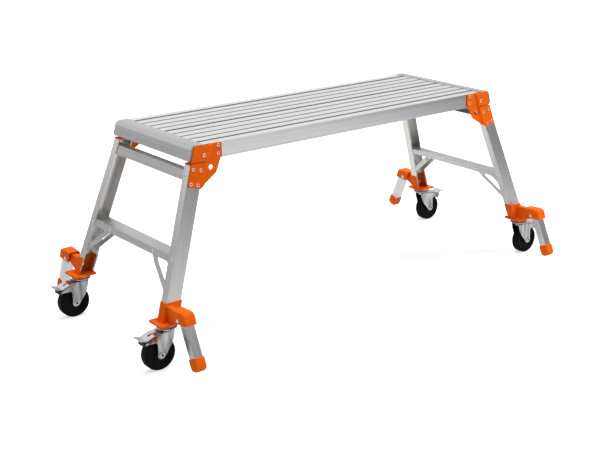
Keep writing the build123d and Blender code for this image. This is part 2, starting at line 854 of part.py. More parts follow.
nodes = {}
nodes["plank_rear"] = plank()
nodes["plank_front"] = corner(nodes["plank_rear"], True, False)
nodes["side_rail_rear"] = side_rail()
nodes["side_rail_front"] = corner(nodes["side_rail_rear"], True, False)
nodes["end_bar_right"] = end_bar()
nodes["end_bar_left"] = corner(nodes["end_bar_right"], False, True)
for name, place in (("left", -1), ("middle", 0), ("right", 1)):
    nodes["cross_member_" + name] = cross_member(place * cross_member_spacing)
nodes["end_bolts"] = at_ends(end_bolt(), False) + at_ends(end_bolt(), True)

corner_pieces = {
    "corner_plate": corner_plate(),
    "stile": raked_channel(0, stile_wall, base_top, kink - plate) - sleeve_bore(),
    "caster_bracket": caster_bracket(),
    "fork": [fork(), axle()],
    "wheel": wheel(),
    "pedal": pedal(),
    "brake_block": brake_block(),
    "hood": hood(),
    "tube": tube(),
    "foot": foot(),
}
for piece, shapes in corner_pieces.items():
    for side in ("front", "rear"):
        for end in ("left", "right"):
            copies = [corner(s, side == "front", end == "left") for s in solids(shapes)]
            nodes[f"{piece}_{side}_{end}"] = copies

leg_braces = [brace(False), brace(True)]
leg_bolts = [sleeve_bolt(), swing_bolt()]
for end in ("left", "right"):
    left = end == "left"
    nodes["crossbar_" + end] = corner(crossbar(), False, left)
    nodes["step_" + end] = corner(step(), False, left)
    nodes["braces_" + end] = at_ends(leg_braces, left)
    nodes["leg_bolts_" + end] = at_ends(leg_bolts, left)
    nodes["swivel_heads_" + end] = at_ends(swivel_head(), left)

os.makedirs("parts", exist_ok=True)
for name, shapes in nodes.items():
    export_step(Compound(children=solids(shapes)), f"parts/{name}.step")
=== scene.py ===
"""Dressed model of the mobile work platform: finishes, small fasteners, studio and camera.

Everything is in metres, in the frame of the solids: length along X, front at negative Y, floor at z = 0.
A piece that every corner has is worked out for the right rear corner and carried to the others.
"""

import logging
import math
from dataclasses import dataclass
from enum import Enum

import bpy
import numpy as np
from mathutils import Matrix, Vector

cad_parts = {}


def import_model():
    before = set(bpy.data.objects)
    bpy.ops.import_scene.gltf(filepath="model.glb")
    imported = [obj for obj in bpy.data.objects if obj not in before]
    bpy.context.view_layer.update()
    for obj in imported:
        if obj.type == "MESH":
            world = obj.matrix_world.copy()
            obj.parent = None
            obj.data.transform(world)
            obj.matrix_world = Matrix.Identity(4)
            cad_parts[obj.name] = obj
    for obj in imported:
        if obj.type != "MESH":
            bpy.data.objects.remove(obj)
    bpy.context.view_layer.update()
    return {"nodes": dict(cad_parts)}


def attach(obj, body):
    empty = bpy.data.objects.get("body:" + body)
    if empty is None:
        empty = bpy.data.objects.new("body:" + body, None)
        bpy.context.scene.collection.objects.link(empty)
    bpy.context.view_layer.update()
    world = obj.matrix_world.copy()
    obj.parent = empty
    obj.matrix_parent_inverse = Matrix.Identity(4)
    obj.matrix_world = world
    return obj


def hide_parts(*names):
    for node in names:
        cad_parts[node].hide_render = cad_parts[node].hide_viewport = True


Pair = tuple[float, float]
Triple = tuple[float, float, float]
Stops = tuple[tuple[float, Triple], ...]
Array = np.ndarray
Material = bpy.types.Material
Piece = bpy.types.Object
Socket = bpy.types.NodeSocket

log = logging.getLogger("work_platform")


class Corner(Enum):
    """The four corners, as the signs of X and Y there."""

    FRONT_LEFT = (-1, -1)
    FRONT_RIGHT = (1, -1)
    REAR_LEFT = (-1, 1)
    REAR_RIGHT = (1, 1)

    @property
    def label(self) -> str:
        """Ending of the names of this corner's nodes and start of the names of its bodies."""
        return self.name.lower()

    @property
    def signs(self) -> Array:
        """Factors that carry a right rear place to this corner."""
        return np.array([*self.value, 1.0])


class End(Enum):
    """The two ends of the platform, as the sign of X there."""

    LEFT = -1
    RIGHT = 1

    @property
    def label(self) -> str:
        """Ending of the names of this end's nodes."""
        return self.name.lower()


SIGNS = np.array([corner.signs for corner in reversed(Corner)])

# Most of a noise's factor lies within this range.
NOISE_RANGE: Pair = (0.3, 0.7)


@dataclass(frozen=True)
class LegLine:
    """Lines of a raked and splayed stile."""

    kink: float = 0.568
    outer_at_kink: float = 0.6127
    web_at_kink: float = 0.215
    rake: float = 0.3464
    splay: float = 0.125
    width: float = 0.048
    wall: float = 0.0025

    def outer(self, z: float) -> float:
        """X of the outer flange's outer face at a height."""
        return self.outer_at_kink + self.rake * (self.kink - z)

    def web(self, z: float) -> float:
        """Y of the web's outer face at a height."""
        return self.web_at_kink + self.splay * (self.kink - z)

    @property
    def outward(self) -> Array:
        """Direction square to the outer flange."""
        return np.array([1.0, 0.0, self.rake])

    @property
    def sideways(self) -> Array:
        """Direction square to the web."""
        return np.array([0.0, 1.0, self.splay])


def unit(vectors: Array) -> Array:
    """Each vector along the last axis, divided by its own length."""
    return vectors / np.linalg.norm(vectors, axis=-1, keepdims=True)


def spread(places: list[Triple]) -> Array:
    """Right rear places or directions at all four corners, as rows of X, Y and Z."""
    return (SIGNS[:, None] * np.array(places, float)).reshape(-1, 3)


def mirrored(rings: Array) -> Array:
    """Right rear rings at all four corners, run the other way where a copy is a mirror image.

    Args:
        rings: Points, rows by turns by 3.

    Returns:
        Points, 4 by rows by turns by 3.
    """
    copies = [rings if x * y > 0 else rings[:, ::-1] for x, y, _ in SIGNS]
    return np.stack(copies) * SIGNS[:, None, None]


def mesh_object(name: str, points: Array, faces: list[list[int]]) -> Piece:
    """Smooth-shaded mesh object at the origin, linked to the scene.

    Args:
        name: Name of the piece.
        points: Array of n by 3.
        faces: Corner numbers of each face, counter-clockwise from outside.

    Returns:
        The object.
    """
    mesh = bpy.data.meshes.new(name)
    mesh.from_pydata(points.tolist(), [], faces)
    mesh.polygons.foreach_set("use_smooth", np.ones(len(mesh.polygons), bool))
    mesh.update()
    piece = bpy.data.objects.new(name, mesh)
    bpy.context.scene.collection.objects.link(piece)
    return piece


def wall_faces(rows: int, turns: int) -> Array:
    """Corner numbers of the faces of a grid that closes on itself round each row.

    Args:
        rows: Number of rings.
        turns: Points round each ring.

    Returns:
        Array of n by 4.
    """
    here = np.arange(turns)
    after = np.roll(here, -1)
    row = np.arange(rows - 1)[:, None] * turns
    corners = [row + here, row + turns + here, row + turns + after, row + after]
    return np.stack(corners, axis=-1).reshape(-1, 4)


def closed_shells(name: str, first: Array, rings: Array, last: Array) -> Piece:
    """Closed shells, each a stack of rings between two poles: a grid in row and turn.

    Args:
        name: Name of the piece.
        first: Pole that the first ring goes round, n by 3.
        rings: Points, n by rows by turns by 3, counter-clockwise seen from the first pole.
        last: Pole that the last ring goes round, n by 3.

    Returns:
        One object that holds all n shells.
    """
    count, rows, turns, _ = rings.shape
    each = rows * turns + 2
    points = np.concatenate([first[:, None], rings.reshape(count, -1, 3), last[:, None]], axis=1)
    here = 1 + np.arange(turns)
    after = np.roll(here, -1)
    tail = (rows - 1) * turns
    cap = np.stack([np.zeros(turns, int), here, after], axis=-1)
    base = np.stack([np.full(turns, each - 1), tail + after, tail + here], axis=-1)
    start = np.arange(count)[:, None, None] * each
    triangles = (start + np.concatenate([cap, base])).reshape(-1, 3).tolist()
    quads = (start + 1 + wall_faces(rows, turns)).reshape(-1, 4).tolist()
    return mesh_object(name, points.reshape(-1, 3), triangles + quads)


def turned_shells(name: str, profile: Array, seats: Array, axes: Array, turns: int, sides: int = 0) -> Piece:
    """Copies of a turned shape: seat + axis times height + radius times the direction of the angle.

    The radius of a sided shape is divided by the cosine of the angle from the middle of the nearest side.

    Args:
        name: Name of the piece.
        profile: Radius and height from the top pole to the bottom pole, k by 2.
        seats: Origin of each copy, n by 3.
        axes: Direction of each copy's height, n by 3.
        turns: Points round each ring.
        sides: Number of flat sides, or 0 for a round shape.

    Returns:
        One object that holds all copies, with the attribute "rim" going from 0 at the axis to 1.
    """
    steep = 0.9
    axes = unit(axes)
    start = np.where(np.abs(axes[:, 2:]) > steep, (1.0, 0.0, 0.0), (0.0, 0.0, 1.0))
    across = unit(np.cross(start, axes))
    along = np.cross(axes, across)
    angle = np.linspace(0, 2 * np.pi, turns, endpoint=False)
    flat = np.ones(turns)
    if sides:
        side = 2 * np.pi / sides
        flat = 1 / np.cos(np.mod(angle, side) - side / 2)
    cosine, sine = np.cos(angle)[:, None], np.sin(angle)[:, None]
    spoke = flat[:, None] * (cosine * across[:, None] + sine * along[:, None])
    radius, height = profile[:, 0], profile[:, 1]
    centre = seats[:, None] + axes[:, None] * height[None, :, None]
    rings = centre[:, 1:-1, None] + radius[None, 1:-1, None, None] * spoke[:, None]
    piece = closed_shells(name, centre[:, 0], rings, centre[:, -1])
    rim = np.concatenate([[0], np.repeat(radius[1:-1] / radius.max(), turns), [0]])
    held = piece.data.attributes.new("rim", "FLOAT", "POINT")
    held.data.foreach_set("value", np.tile(rim, len(seats)).astype(np.float32))
    return piece


def rounded_loop(corners: Array, steps: int) -> Array:
    """Closed loop with arcs for corners: centre plus radius times a direction that turns between two sides.

    Args:
        corners: Two places and a radius for each corner, n by 3.
        steps: Points on each arc.

    Returns:
        Points, n times steps by 2.
    """
    here, radius = corners[:, :2], corners[:, 2]
    back = unit(np.roll(here, 1, axis=0) - here)
    ahead = unit(np.roll(here, -1, axis=0) - here)
    half = np.arccos(np.clip(np.sum(back * ahead, axis=1), -1, 1)) / 2
    middle = unit(back + ahead)
    centre = here + middle * (radius / np.sin(half))[:, None]
    sweep = np.linspace(-1, 1, steps)[None] * (np.pi / 2 - half)[:, None]
    turn = np.sign(back[:, 0] * ahead[:, 1] - back[:, 1] * ahead[:, 0])[:, None] * -sweep
    away = -middle[:, None]
    swung = np.stack([
        away[..., 0] * np.cos(turn) - away[..., 1] * np.sin(turn),
        away[..., 0] * np.sin(turn) + away[..., 1] * np.cos(turn),
    ], axis=-1)
    return (centre[:, None] + radius[:, None, None] * swung).reshape(-1, 2)


def dome(radius: float, height: float, pit: float, depth: float) -> Array:
    """Profile of a rivet head from the bottom of its pit over the dome to its seat.

    The dome's height falls as the square root of one less a part of the squared share of the radius.

    Args:
        radius: Of the head.
        height: Of the head.
        pit: Radius of the pit left by the mandrel.
        depth: Of that pit.

    Returns:
        Radius and height of each point, from pole to pole.
    """
    part, taper, seat = 0.92, 0.8, -0.0004
    share = np.linspace(pit / radius, 1.0, 5)
    rise = height * np.sqrt(1 - part * share**2)
    floor = rise[0] - depth
    head = np.column_stack([share * radius, rise])
    return np.vstack([[0, floor], [taper * pit, floor], head, [radius, seat], [0, seat]])


class Tree:
    """A node tree, with short ways to make and join its nodes."""

    def __init__(self, tree: bpy.types.NodeTree) -> None:
        """Empties the tree."""
        tree.nodes.clear()
        self.tree = tree

    def node(self, kind: str, *inputs: object, operation: str = "", **named: object) -> bpy.types.Node:
        """New node whose inputs are joined to outputs or hold values of their own.

        Args:
            kind: Type of the node, without ShaderNode in front.
            *inputs: Outputs or values for the first inputs, in their order.
            operation: What a math node does.
            **named: Outputs or values for inputs by name, with _ for a space.

        Returns:
            The node.
        """
        made = self.tree.nodes.new("ShaderNode" + kind)
        if operation:
            made.operation = operation
        by_name = [(made.inputs[key.replace("_", " ")], value) for key, value in named.items()]
        for target, value in [*zip(made.inputs, inputs), *by_name]:
            if isinstance(value, Socket):
                self.tree.links.new(value, target)
            else:
                target.default_value = value
        return made

    def mix(self, factor: Socket, first: Socket, second: Socket) -> Socket:
        """The first shader where a factor is 0 and the second where it is 1."""
        return self.node("MixShader", factor, first, second).outputs["Shader"]

    def any_ray(self, *kinds: str) -> Socket:
        """1 for a ray of any of these kinds and 0 for others.

        Args:
            *kinds: Names of Light Path's outputs.

        Returns:
            Value output.
        """
        rays = self.node("LightPath").outputs
        found = rays[kinds[0]]
        for kind in kinds[1:]:
            found = self.node("Math", found, rays[kind], operation="MAXIMUM").outputs["Value"]
        return found


class Shader(Tree):
    """Node tree of one material, on Object coordinates."""

    def __init__(self, name: str) -> None:
        """Tree with an output alone, for a material of this name."""
        self.material = bpy.data.materials.new(name)
        self.material.use_nodes = True
        super().__init__(self.material.node_tree)
        self.output = self.node("OutputMaterial")

    def show(self, result: Socket) -> Material:
        """Joins the finished shader to the output and gives the material."""
        self.tree.links.new(result, self.output.inputs["Surface"])
        return self.material

    def place(
            self, scale: Triple = (1, 1, 1), turn: Triple = (0, 0, 0), origin: Triple = (0, 0, 0)) -> Socket:
        """Object coordinates less an origin, turned, then stretched.

        Args:
            scale: Stretch along each turned axis.
            turn: Angles of the turn.
            origin: Point that becomes zero.

        Returns:
            Vector output.
        """
        here = self.node("TexCoord").outputs["Object"]
        moved = self.node("VectorMath", here, origin, operation="SUBTRACT").outputs["Vector"]
        turned = self.node("Mapping", moved, Rotation=turn).outputs["Vector"]
        return self.node("Mapping", turned, Scale=scale).outputs["Vector"]

    def noise(self, scale: float, detail: float = 2.0, vector: Socket | None = None) -> Socket:
        """Noise over the Object coordinates or over another vector, as a factor."""
        return self.node("TexNoise", vector or self.place(), Scale=scale, Detail=detail).outputs["Fac"]

    def ramp(self, factor: Socket, stops: Stops) -> Socket:
        """Colour looked up by a factor.

        Args:
            factor: Value from 0 to 1.
            stops: Position and colour of each stop, from low to high.

        Returns:
            Colour output.
        """
        made = self.node("ValToRGB", factor)
        elements = made.color_ramp.elements
        while len(elements) < len(stops):
            elements.new(1.0)
        for element, (position, colour) in zip(elements, stops):
            element.position = position
            element.color = (*colour, 1.0)
        return made.outputs["Color"]

    def span(self, factor: Socket, low: float, high: float, source: Pair = NOISE_RANGE) -> Socket:
        """Factor carried from the source range to low and high, and held there beyond it."""
        return self.node("MapRange", factor, *source, low, high).outputs["Result"]

    def along(self, direction: Triple) -> Socket:
        """Length of the Object coordinates along a direction, times that direction's own length."""
        return self.node("VectorMath", self.place(), direction, operation="DOT_PRODUCT").outputs["Value"]

    def distance(self, scale: Triple, origin: Triple = (0, 0, 0)) -> Socket:
        """Distance from an origin, of Object coordinates stretched by a scale."""
        return self.node("VectorMath", self.place(scale, origin=origin), operation="LENGTH").outputs["Value"]

    def to_and_fro(self, value: Socket, reach: float) -> Socket:
        """Value folded to rise from 0 to a reach and fall back again."""
        return self.node("Math", value, reach, operation="PINGPONG").outputs["Value"]


class Coating(Shader):
    """Principled surface of a piece."""

    def __init__(self, name: str, **values: float) -> None:
        """Tree with a principled surface that holds these values, with _ for a space in their names."""
        super().__init__(name)
        self.surface = self.node("BsdfPrincipled", **values)
        self.show(self.surface.outputs["BSDF"])

    def paint(self, colour: Socket, roughness: Socket) -> None:
        """Joins a colour and a roughness to the surface."""
        self.tree.links.new(colour, self.surface.inputs["Base Color"])
        self.tree.links.new(roughness, self.surface.inputs["Roughness"])

    def bump(self, height: Socket, strength: float, distance: float) -> None:
        """Raises the surface by a height, over any bump that it has already."""
        made = self.node("Bump", Strength=strength, Distance=distance, Height=height)
        normal = self.surface.inputs["Normal"]
        if normal.is_linked:
            self.tree.links.new(normal.links[0].from_socket, made.inputs["Normal"])
        self.tree.links.new(made.outputs["Normal"], normal)


def around(colour: Triple, share: float) -> Stops:
    """Ramp from a little darker than a colour to a little lighter."""
    darker = tuple(c * (1 - share) for c in colour)
    lighter = tuple(min(c * (1 + share), 1.0) for c in colour)
    low, high = NOISE_RANGE
    return ((low, darker), (high, lighter))


@dataclass(frozen=True)
class GrooveShade:
    """Dark lines along X, a pitch apart from y = 0: painted shade in the gaps between the deck's strip
    sections.
    """

    pitch: float
    half: float
    fade: float
    shade: float

    def factor(self, shader: Shader) -> Socket:
        """Shade by the distance in Y to the nearest line: full within half its width, none past the fade."""
        distance = shader.to_and_fro(shader.along((0, 1, 0)), self.pitch / 2)
        return shader.span(distance, self.shade, 1.0, (self.half, self.fade))


@dataclass(frozen=True)
class DrawnAluminium:
    """Mill-finished extrusion: satin metal with fine die lines along the direction it was drawn in."""

    name: str
    along: Triple
    colour: Triple
    rough: Pair = (0.30, 0.42)
    sway: float = 0.05
    run: float = 0.35
    line: float = 0.0012
    line_depth: float = 0.0002
    streak: float = 0.009
    streak_depth: float = 0.0004
    relief: float = 0.06
    metallic: float = 1.0
    # Sets of lines of painted shade, which darken the colour in the gaps and joints.
    groove_shade: tuple[GrooveShade, ...] = ()

    def material(self) -> Material:
        """Noise stretched along the drawing direction, at two widths, for lines, sheen and colour.

        The colour sways by the wide noise and is darkened by each set of painted shade lines.
        """
        shader = Coating(self.name, Metallic=self.metallic)
        turn = tuple(Vector(self.along).rotation_difference(Vector((1, 0, 0))).to_euler())
        fine, wide = (
            shader.noise(1.0, vector=shader.place((length / self.run, 1 / width, 1 / width), turn))
            for length, width in ((1.0, self.line), (0.5, self.streak)))
        metal = shader.ramp(wide, around(self.colour, self.sway))
        for lines in self.groove_shade:
            product = shader.node("VectorMath", metal, lines.factor(shader), operation="MULTIPLY")
            metal = product.outputs["Vector"]
        shader.paint(metal, shader.span(fine, *self.rough))
        shader.bump(fine, self.relief, self.line_depth)
        shader.bump(wide, self.relief, self.streak_depth)
        return shader.material


@dataclass(frozen=True)
class Grained:
    """Coat or moulding: clouds in its colour, a grain in its sheen and a peel in its relief.

    Each of the three is a noise, given by its scale and detail. The relief is the peel's strength and depth.
    """

    name: str
    colour: Triple
    rough: Pair
    gloss: float
    sway: float
    cloud: Pair
    grain: Pair
    peel: Pair
    relief: Pair

    def material(self) -> Material:
        """Clouds sway the colour, the grain sets the roughness within its range and the peel is a bump."""
        shader = Coating(self.name, Specular_IOR_Level=self.gloss)
        colour = shader.ramp(shader.noise(*self.cloud), around(self.colour, self.sway))
        shader.paint(colour, shader.span(shader.noise(*self.grain), *self.rough))
        shader.bump(shader.noise(*self.peel), *self.relief)
        return shader.material


@dataclass(frozen=True)
class PowderCoat(Grained):
    """Stoved orange coat on steel, with a faint peel."""

    colour: Triple = (0.86, 0.124, 0.002)
    rough: Pair = (0.38, 0.50)
    gloss: float = 0.05
    sway: float = 0.06
    cloud: Pair = (14.0, 3.0)
    grain: Pair = (1600.0, 2.0)
    peel: Pair = (420.0, 1.0)
    relief: Pair = (0.12, 0.0003)


@dataclass(frozen=True)
class MouldedCap(Grained):
    """Moulded orange cap with a spark-eroded grain of half a millimetre, in sheen and relief alike."""

    colour: Triple = (0.81, 0.122, 0.004)
    rough: Pair = (0.46, 0.60)
    gloss: float = 0.06
    sway: float = 0.05
    cloud: Pair = (22.0, 2.0)
    grain: Pair = (1900.0, 3.0)
    peel: Pair = (1900.0, 3.0)
    relief: Pair = (0.22, 0.0002)


@dataclass(frozen=True)
class BlockRubber(Grained):
    """Dense black rubber of brake blocks and soles, with a dusty bloom in colour and sheen alike."""

    colour: Triple = (0.012, 0.012, 0.0125)
    rough: Pair = (0.62, 0.82)
    gloss: float = 0.5
    sway: float = 0.45
    cloud: Pair = (90.0, 4.0)
    grain: Pair = (90.0, 4.0)
    peel: Pair = (1500.0, 2.0)
    relief: Pair = (0.3, 0.0003)


@dataclass(frozen=True)
class ZincPlate:
    """Bright zinc on pressed steel, its clear passivation slightly clouded."""

    name: str
    rough: Pair = (0.11, 0.18)
    stretch: Triple = (1, 1, 1)
    tints: Stops = ((0.30, (0.53, 0.56, 0.58)), (0.50, (0.58, 0.60, 0.615)), (0.70, (0.62, 0.625, 0.63)))
    cloud: float = 38.0
    sheet: Pair = (500.0, 1.0)
    relief: Pair = (0.03, 0.0002)

    def material(self) -> Material:
        """Centimetre clouds for tint and sheen, fine noise for the rolled sheet."""
        shader = Coating(self.name, Metallic=1.0)
        cloud = shader.noise(self.cloud, vector=shader.place(self.stretch))
        shader.paint(shader.ramp(cloud, self.tints), shader.span(cloud, *self.rough))
        shader.bump(shader.noise(*self.sheet), *self.relief)
        return shader.material


@dataclass(frozen=True)
class RivetMetal:
    """Blind rivet: bright dome round a near-black middle, which is painted shade in the mandrel's pit."""

    name: str
    # The near-black stops paint shade in the pit; the last stop is the bright metal of the dome.
    stops: Stops = ((0.34, (0.02, 0.02, 0.02)), (0.41, (0.08, 0.08, 0.08)), (0.48, (0.84, 0.84, 0.84)))
    rough: Pair = (0.18, 0.34)
    scuff: Pair = (800.0, 2.0)

    def material(self) -> Material:
        """Colour by the share of the head's radius, kept as an attribute."""
        shader = Coating(self.name, Metallic=1.0)
        rim = shader.node("Attribute")
        rim.attribute_name = "rim"
        colour = shader.ramp(rim.outputs["Fac"], self.stops)
        shader.paint(colour, shader.span(shader.noise(*self.scuff), *self.rough))
        return shader.material


@dataclass(frozen=True)
class WheelRubber:
    """Black moulded wheel: matt tread, and a smoother disc with faint turned rings."""

    name: str
    centre: Triple
    radius: float = 0.050
    rim: float = 0.036
    blend: float = 0.02
    tread: Triple = (0.0056, 0.0054, 0.0056)
    disc: Triple = (0.0105, 0.0102, 0.0105)
    gloss: float = 0.05
    rough: Pair = (0.46, 0.66)
    grit: Pair = (1300.0, 3.0)
    relief: Pair = (0.25, 0.0003)
    ring: float = 0.0022
    ring_relief: Pair = (0.18, 0.0004)

    def material(self) -> Material:
        """Colour and rings by the distance from the axle: the length of X and Z from the centre."""
        shader = Coating(self.name, Specular_IOR_Level=self.gloss)
        distance = shader.distance((1, 0, 1), self.centre)
        share = shader.span(distance, 0.0, 1.0, (0.0, self.radius))
        rim = self.rim / self.radius
        stops = ((0.0, self.disc), (rim, self.disc), (rim + self.blend, self.tread))
        grit = shader.noise(*self.grit)
        shader.paint(shader.ramp(share, stops), shader.span(grit, *self.rough))
        shader.bump(grit, *self.relief)
        rings = shader.to_and_fro(distance, self.ring)
        shader.bump(shader.span(rings, 0.0, 1.0, (0.0, self.ring)), *self.ring_relief)
        return shader.material


class Finishes:
    """The materials that several pieces share, each made once."""

    def __init__(self) -> None:
        """Makes the aluminiums by the way they were drawn, then the coats, the steels and the rubber."""
        # Painted shade: dark lines in the tread's gaps, at the plank seams and, widest, along the rear
        # rail's joint.
        strip_shade = GrooveShade(pitch=0.0436, half=0.0025, fade=0.0054, shade=0.15)
        seam_shade = GrooveShade(pitch=0.1744, half=0.0044, fade=0.0085, shade=0.10)
        rear_joint_shade = GrooveShade(pitch=0.1744, half=0.0074, fade=0.0112, shade=0.04)
        rail = ((1, 0, 0), (0.70, 0.702, 0.71), (0.14, 0.20), 0.04)
        self.lengthwise = DrawnAluminium("aluminium_lengthwise", *rail, groove_shade=(seam_shade,)).material()
        self.rear_rail = DrawnAluminium("aluminium_rear_rail", *rail, groove_shade=(rear_joint_shade,)).material()
        self.tread = DrawnAluminium(
            "aluminium_tread", (1, 0, 0), (0.75, 0.752, 0.755), sway=0.03,
            groove_shade=(strip_shade, seam_shade)).material()
        self.crosswise = DrawnAluminium("aluminium_crosswise", (0, 1, 0), (0.575, 0.570, 0.561)).material()
        self.crossbar = DrawnAluminium(
            "aluminium_crossbar", (0, 1, 0), (0.55, 0.545, 0.54), (0.38, 0.48), metallic=0.7).material()
        # The end bars' darker grey is painted shade, standing in for the dimmer reflection of metal drawn
        # across the deck.
        self.end_bar = DrawnAluminium(
            "aluminium_end_bar", (0, 1, 0), (0.47, 0.472, 0.48), (0.24, 0.34), 0.09).material()
        self.plug = DrawnAluminium("aluminium_plug", (0, 1, 0), (0.40, 0.40, 0.41), (0.5, 0.62)).material()
        self.coat = PowderCoat("orange_coat").material()
        # Darker orange for the sleeve linings: painted shade inside the stiles' channels.
        self.shaded_coat = PowderCoat("orange_coat_painted_shade", (0.50, 0.115, 0.018)).material()
        self.cap = MouldedCap("orange_cap").material()
        self.zinc = ZincPlate("bright_zinc").material()
        # A darker copy of the bright zinc, its clouds stretched upright, for the forks: painted shade on
        # their cheeks.
        fork_shade_tints = ((0.38, (0.21, 0.215, 0.22)), (0.48, (0.35, 0.36, 0.365)), (0.60, (0.50, 0.51, 0.515)))
        self.fork = ZincPlate("fork_zinc", (0.10, 0.17), (1.5, 1.5, 0.3), fork_shade_tints).material()
        oily = ((0.30, (0.012, 0.011, 0.010)), (0.70, (0.05, 0.048, 0.045)))
        self.grease = ZincPlate("greased_steel", (0.22, 0.34), tints=oily).material()
        self.rivet = RivetMetal("rivet_metal").material()
        # The dark middle of the axle nuts is painted shade, as of a hollow axle's hole.
        pitted = ((0.42, (0.02, 0.02, 0.02)), (0.47, (0.06, 0.06, 0.06)), (0.51, (0.62, 0.63, 0.64)))
        self.axle = RivetMetal("axle_metal", pitted).material()
        self.block = BlockRubber("block_rubber").material()


@dataclass
class Workshop:
    """The loaded solids and the finishes to dress them in."""

    nodes: dict[str, Piece]
    finishes: Finishes
    same_point: float = 1e-6
    same_plane: float = math.radians(0.4)
    sharp: float = math.radians(38)
    edge_steps: int = 2

    def dress(self, node: str, material: Material, edge: float = 0.0) -> None:
        """Gives a node a material and, where asked, softly broken edges.

        Args:
            node: Name of the node.
            material: Its finish.
            edge: Width of the broken edges, or 0 to leave them sharp.
        """
        solid = self.nodes[node]
        if not solid.material_slots:
            solid.data.materials.append(None)
        for slot in solid.material_slots:
            slot.material = material
        if edge:
            solid.modifiers.new("weld", "WELD").merge_threshold = self.same_point
            flat = solid.modifiers.new("flat", "DECIMATE")
            flat.decimate_type = "DISSOLVE"
            flat.angle_limit = self.same_plane
            bevel = solid.modifiers.new("edge", "BEVEL")
            bevel.width = edge
            bevel.segments = self.edge_steps
            bevel.limit_method = "ANGLE"
            bevel.angle_limit = self.sharp
            bevel.miter_outer = "MITER_ARC"
            solid.modifiers.new("shade", "WEIGHTED_NORMAL")
        log.info("node %s: %s", node, material.name)

    def finish(self, piece: Piece, material: Material, slot: str, body: str = "frame") -> None:
        """Gives a new piece its material and body.

        Args:
            piece: The new piece.
            material: Its finish.
            slot: Kind of finish that it stands for; not used.
            body: Body that it rides on.
        """
        piece.data.materials.append(material)
        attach(piece, body)
        log.info("piece %s on %s: %d faces", piece.name, body, len(piece.data.polygons))


@dataclass
class Deck:
    """Two grooved planks between side rails and rounded end bars, whose ends are plugged."""

    shop: Workshop
    edge: float = 0.0006
    plug_face: float = 0.2147
    plug_depth: float = 0.003
    plug_rim: tuple[Pair, ...] = ((0.96, 0.0), (0.99, 0.0003), (1.0, 0.0008))
    plug_middle: Pair = (0.600, 0.590)
    plug_corners: tuple[Triple, ...] = (
        (0.5760, 0.5782, 0.0004), (0.6160, 0.5782, 0.0018), (0.6033, 0.6168, 0.0148),
        (0.5882, 0.6168, 0.0004), (0.5882, 0.5928, 0.0004), (0.5760, 0.5928, 0.0004))
    plug_steps: int = 7

    def build(self) -> None:
        """Dresses planks, rails, bars and cross members along the way they were drawn, and adds plugs."""
        finishes = self.shop.finishes
        for side, rail in (("front", finishes.lengthwise), ("rear", finishes.rear_rail)):
            self.shop.dress("plank_" + side, finishes.tread)
            self.shop.dress("side_rail_" + side, rail)
        for end in End:
            self.shop.dress("end_bar_" + end.label, finishes.end_bar)
        for place in ("left", "middle", "right"):
            self.shop.dress("cross_member_" + place, finishes.crosswise, self.edge)
        self.add_plugs()

    def add_plugs(self) -> None:
        """Closes the hollow ends of the end bars: the hollow's loop run along Y, with a bevelled rim."""
        middle = np.array(self.plug_middle)
        loop = rounded_loop(np.array(self.plug_corners), self.plug_steps)[::-1]
        rows = np.array([*self.plug_rim, (1.0, self.plug_depth)])
        flat = middle + rows[:, :1, None] * (loop - middle)
        deep = np.broadcast_to(self.plug_face - rows[:, 1:], flat.shape[:2])
        rings = np.stack([flat[..., 0], deep, flat[..., 1]], axis=-1)
        front, back = (
            spread([(middle[0], self.plug_face - depth, middle[1])]) for depth in (0.0, self.plug_depth))
        plugs = closed_shells("end_bar_plugs", front, mirrored(rings), back)
        self.shop.finish(plugs, self.shop.finishes.plug, "aluminium")


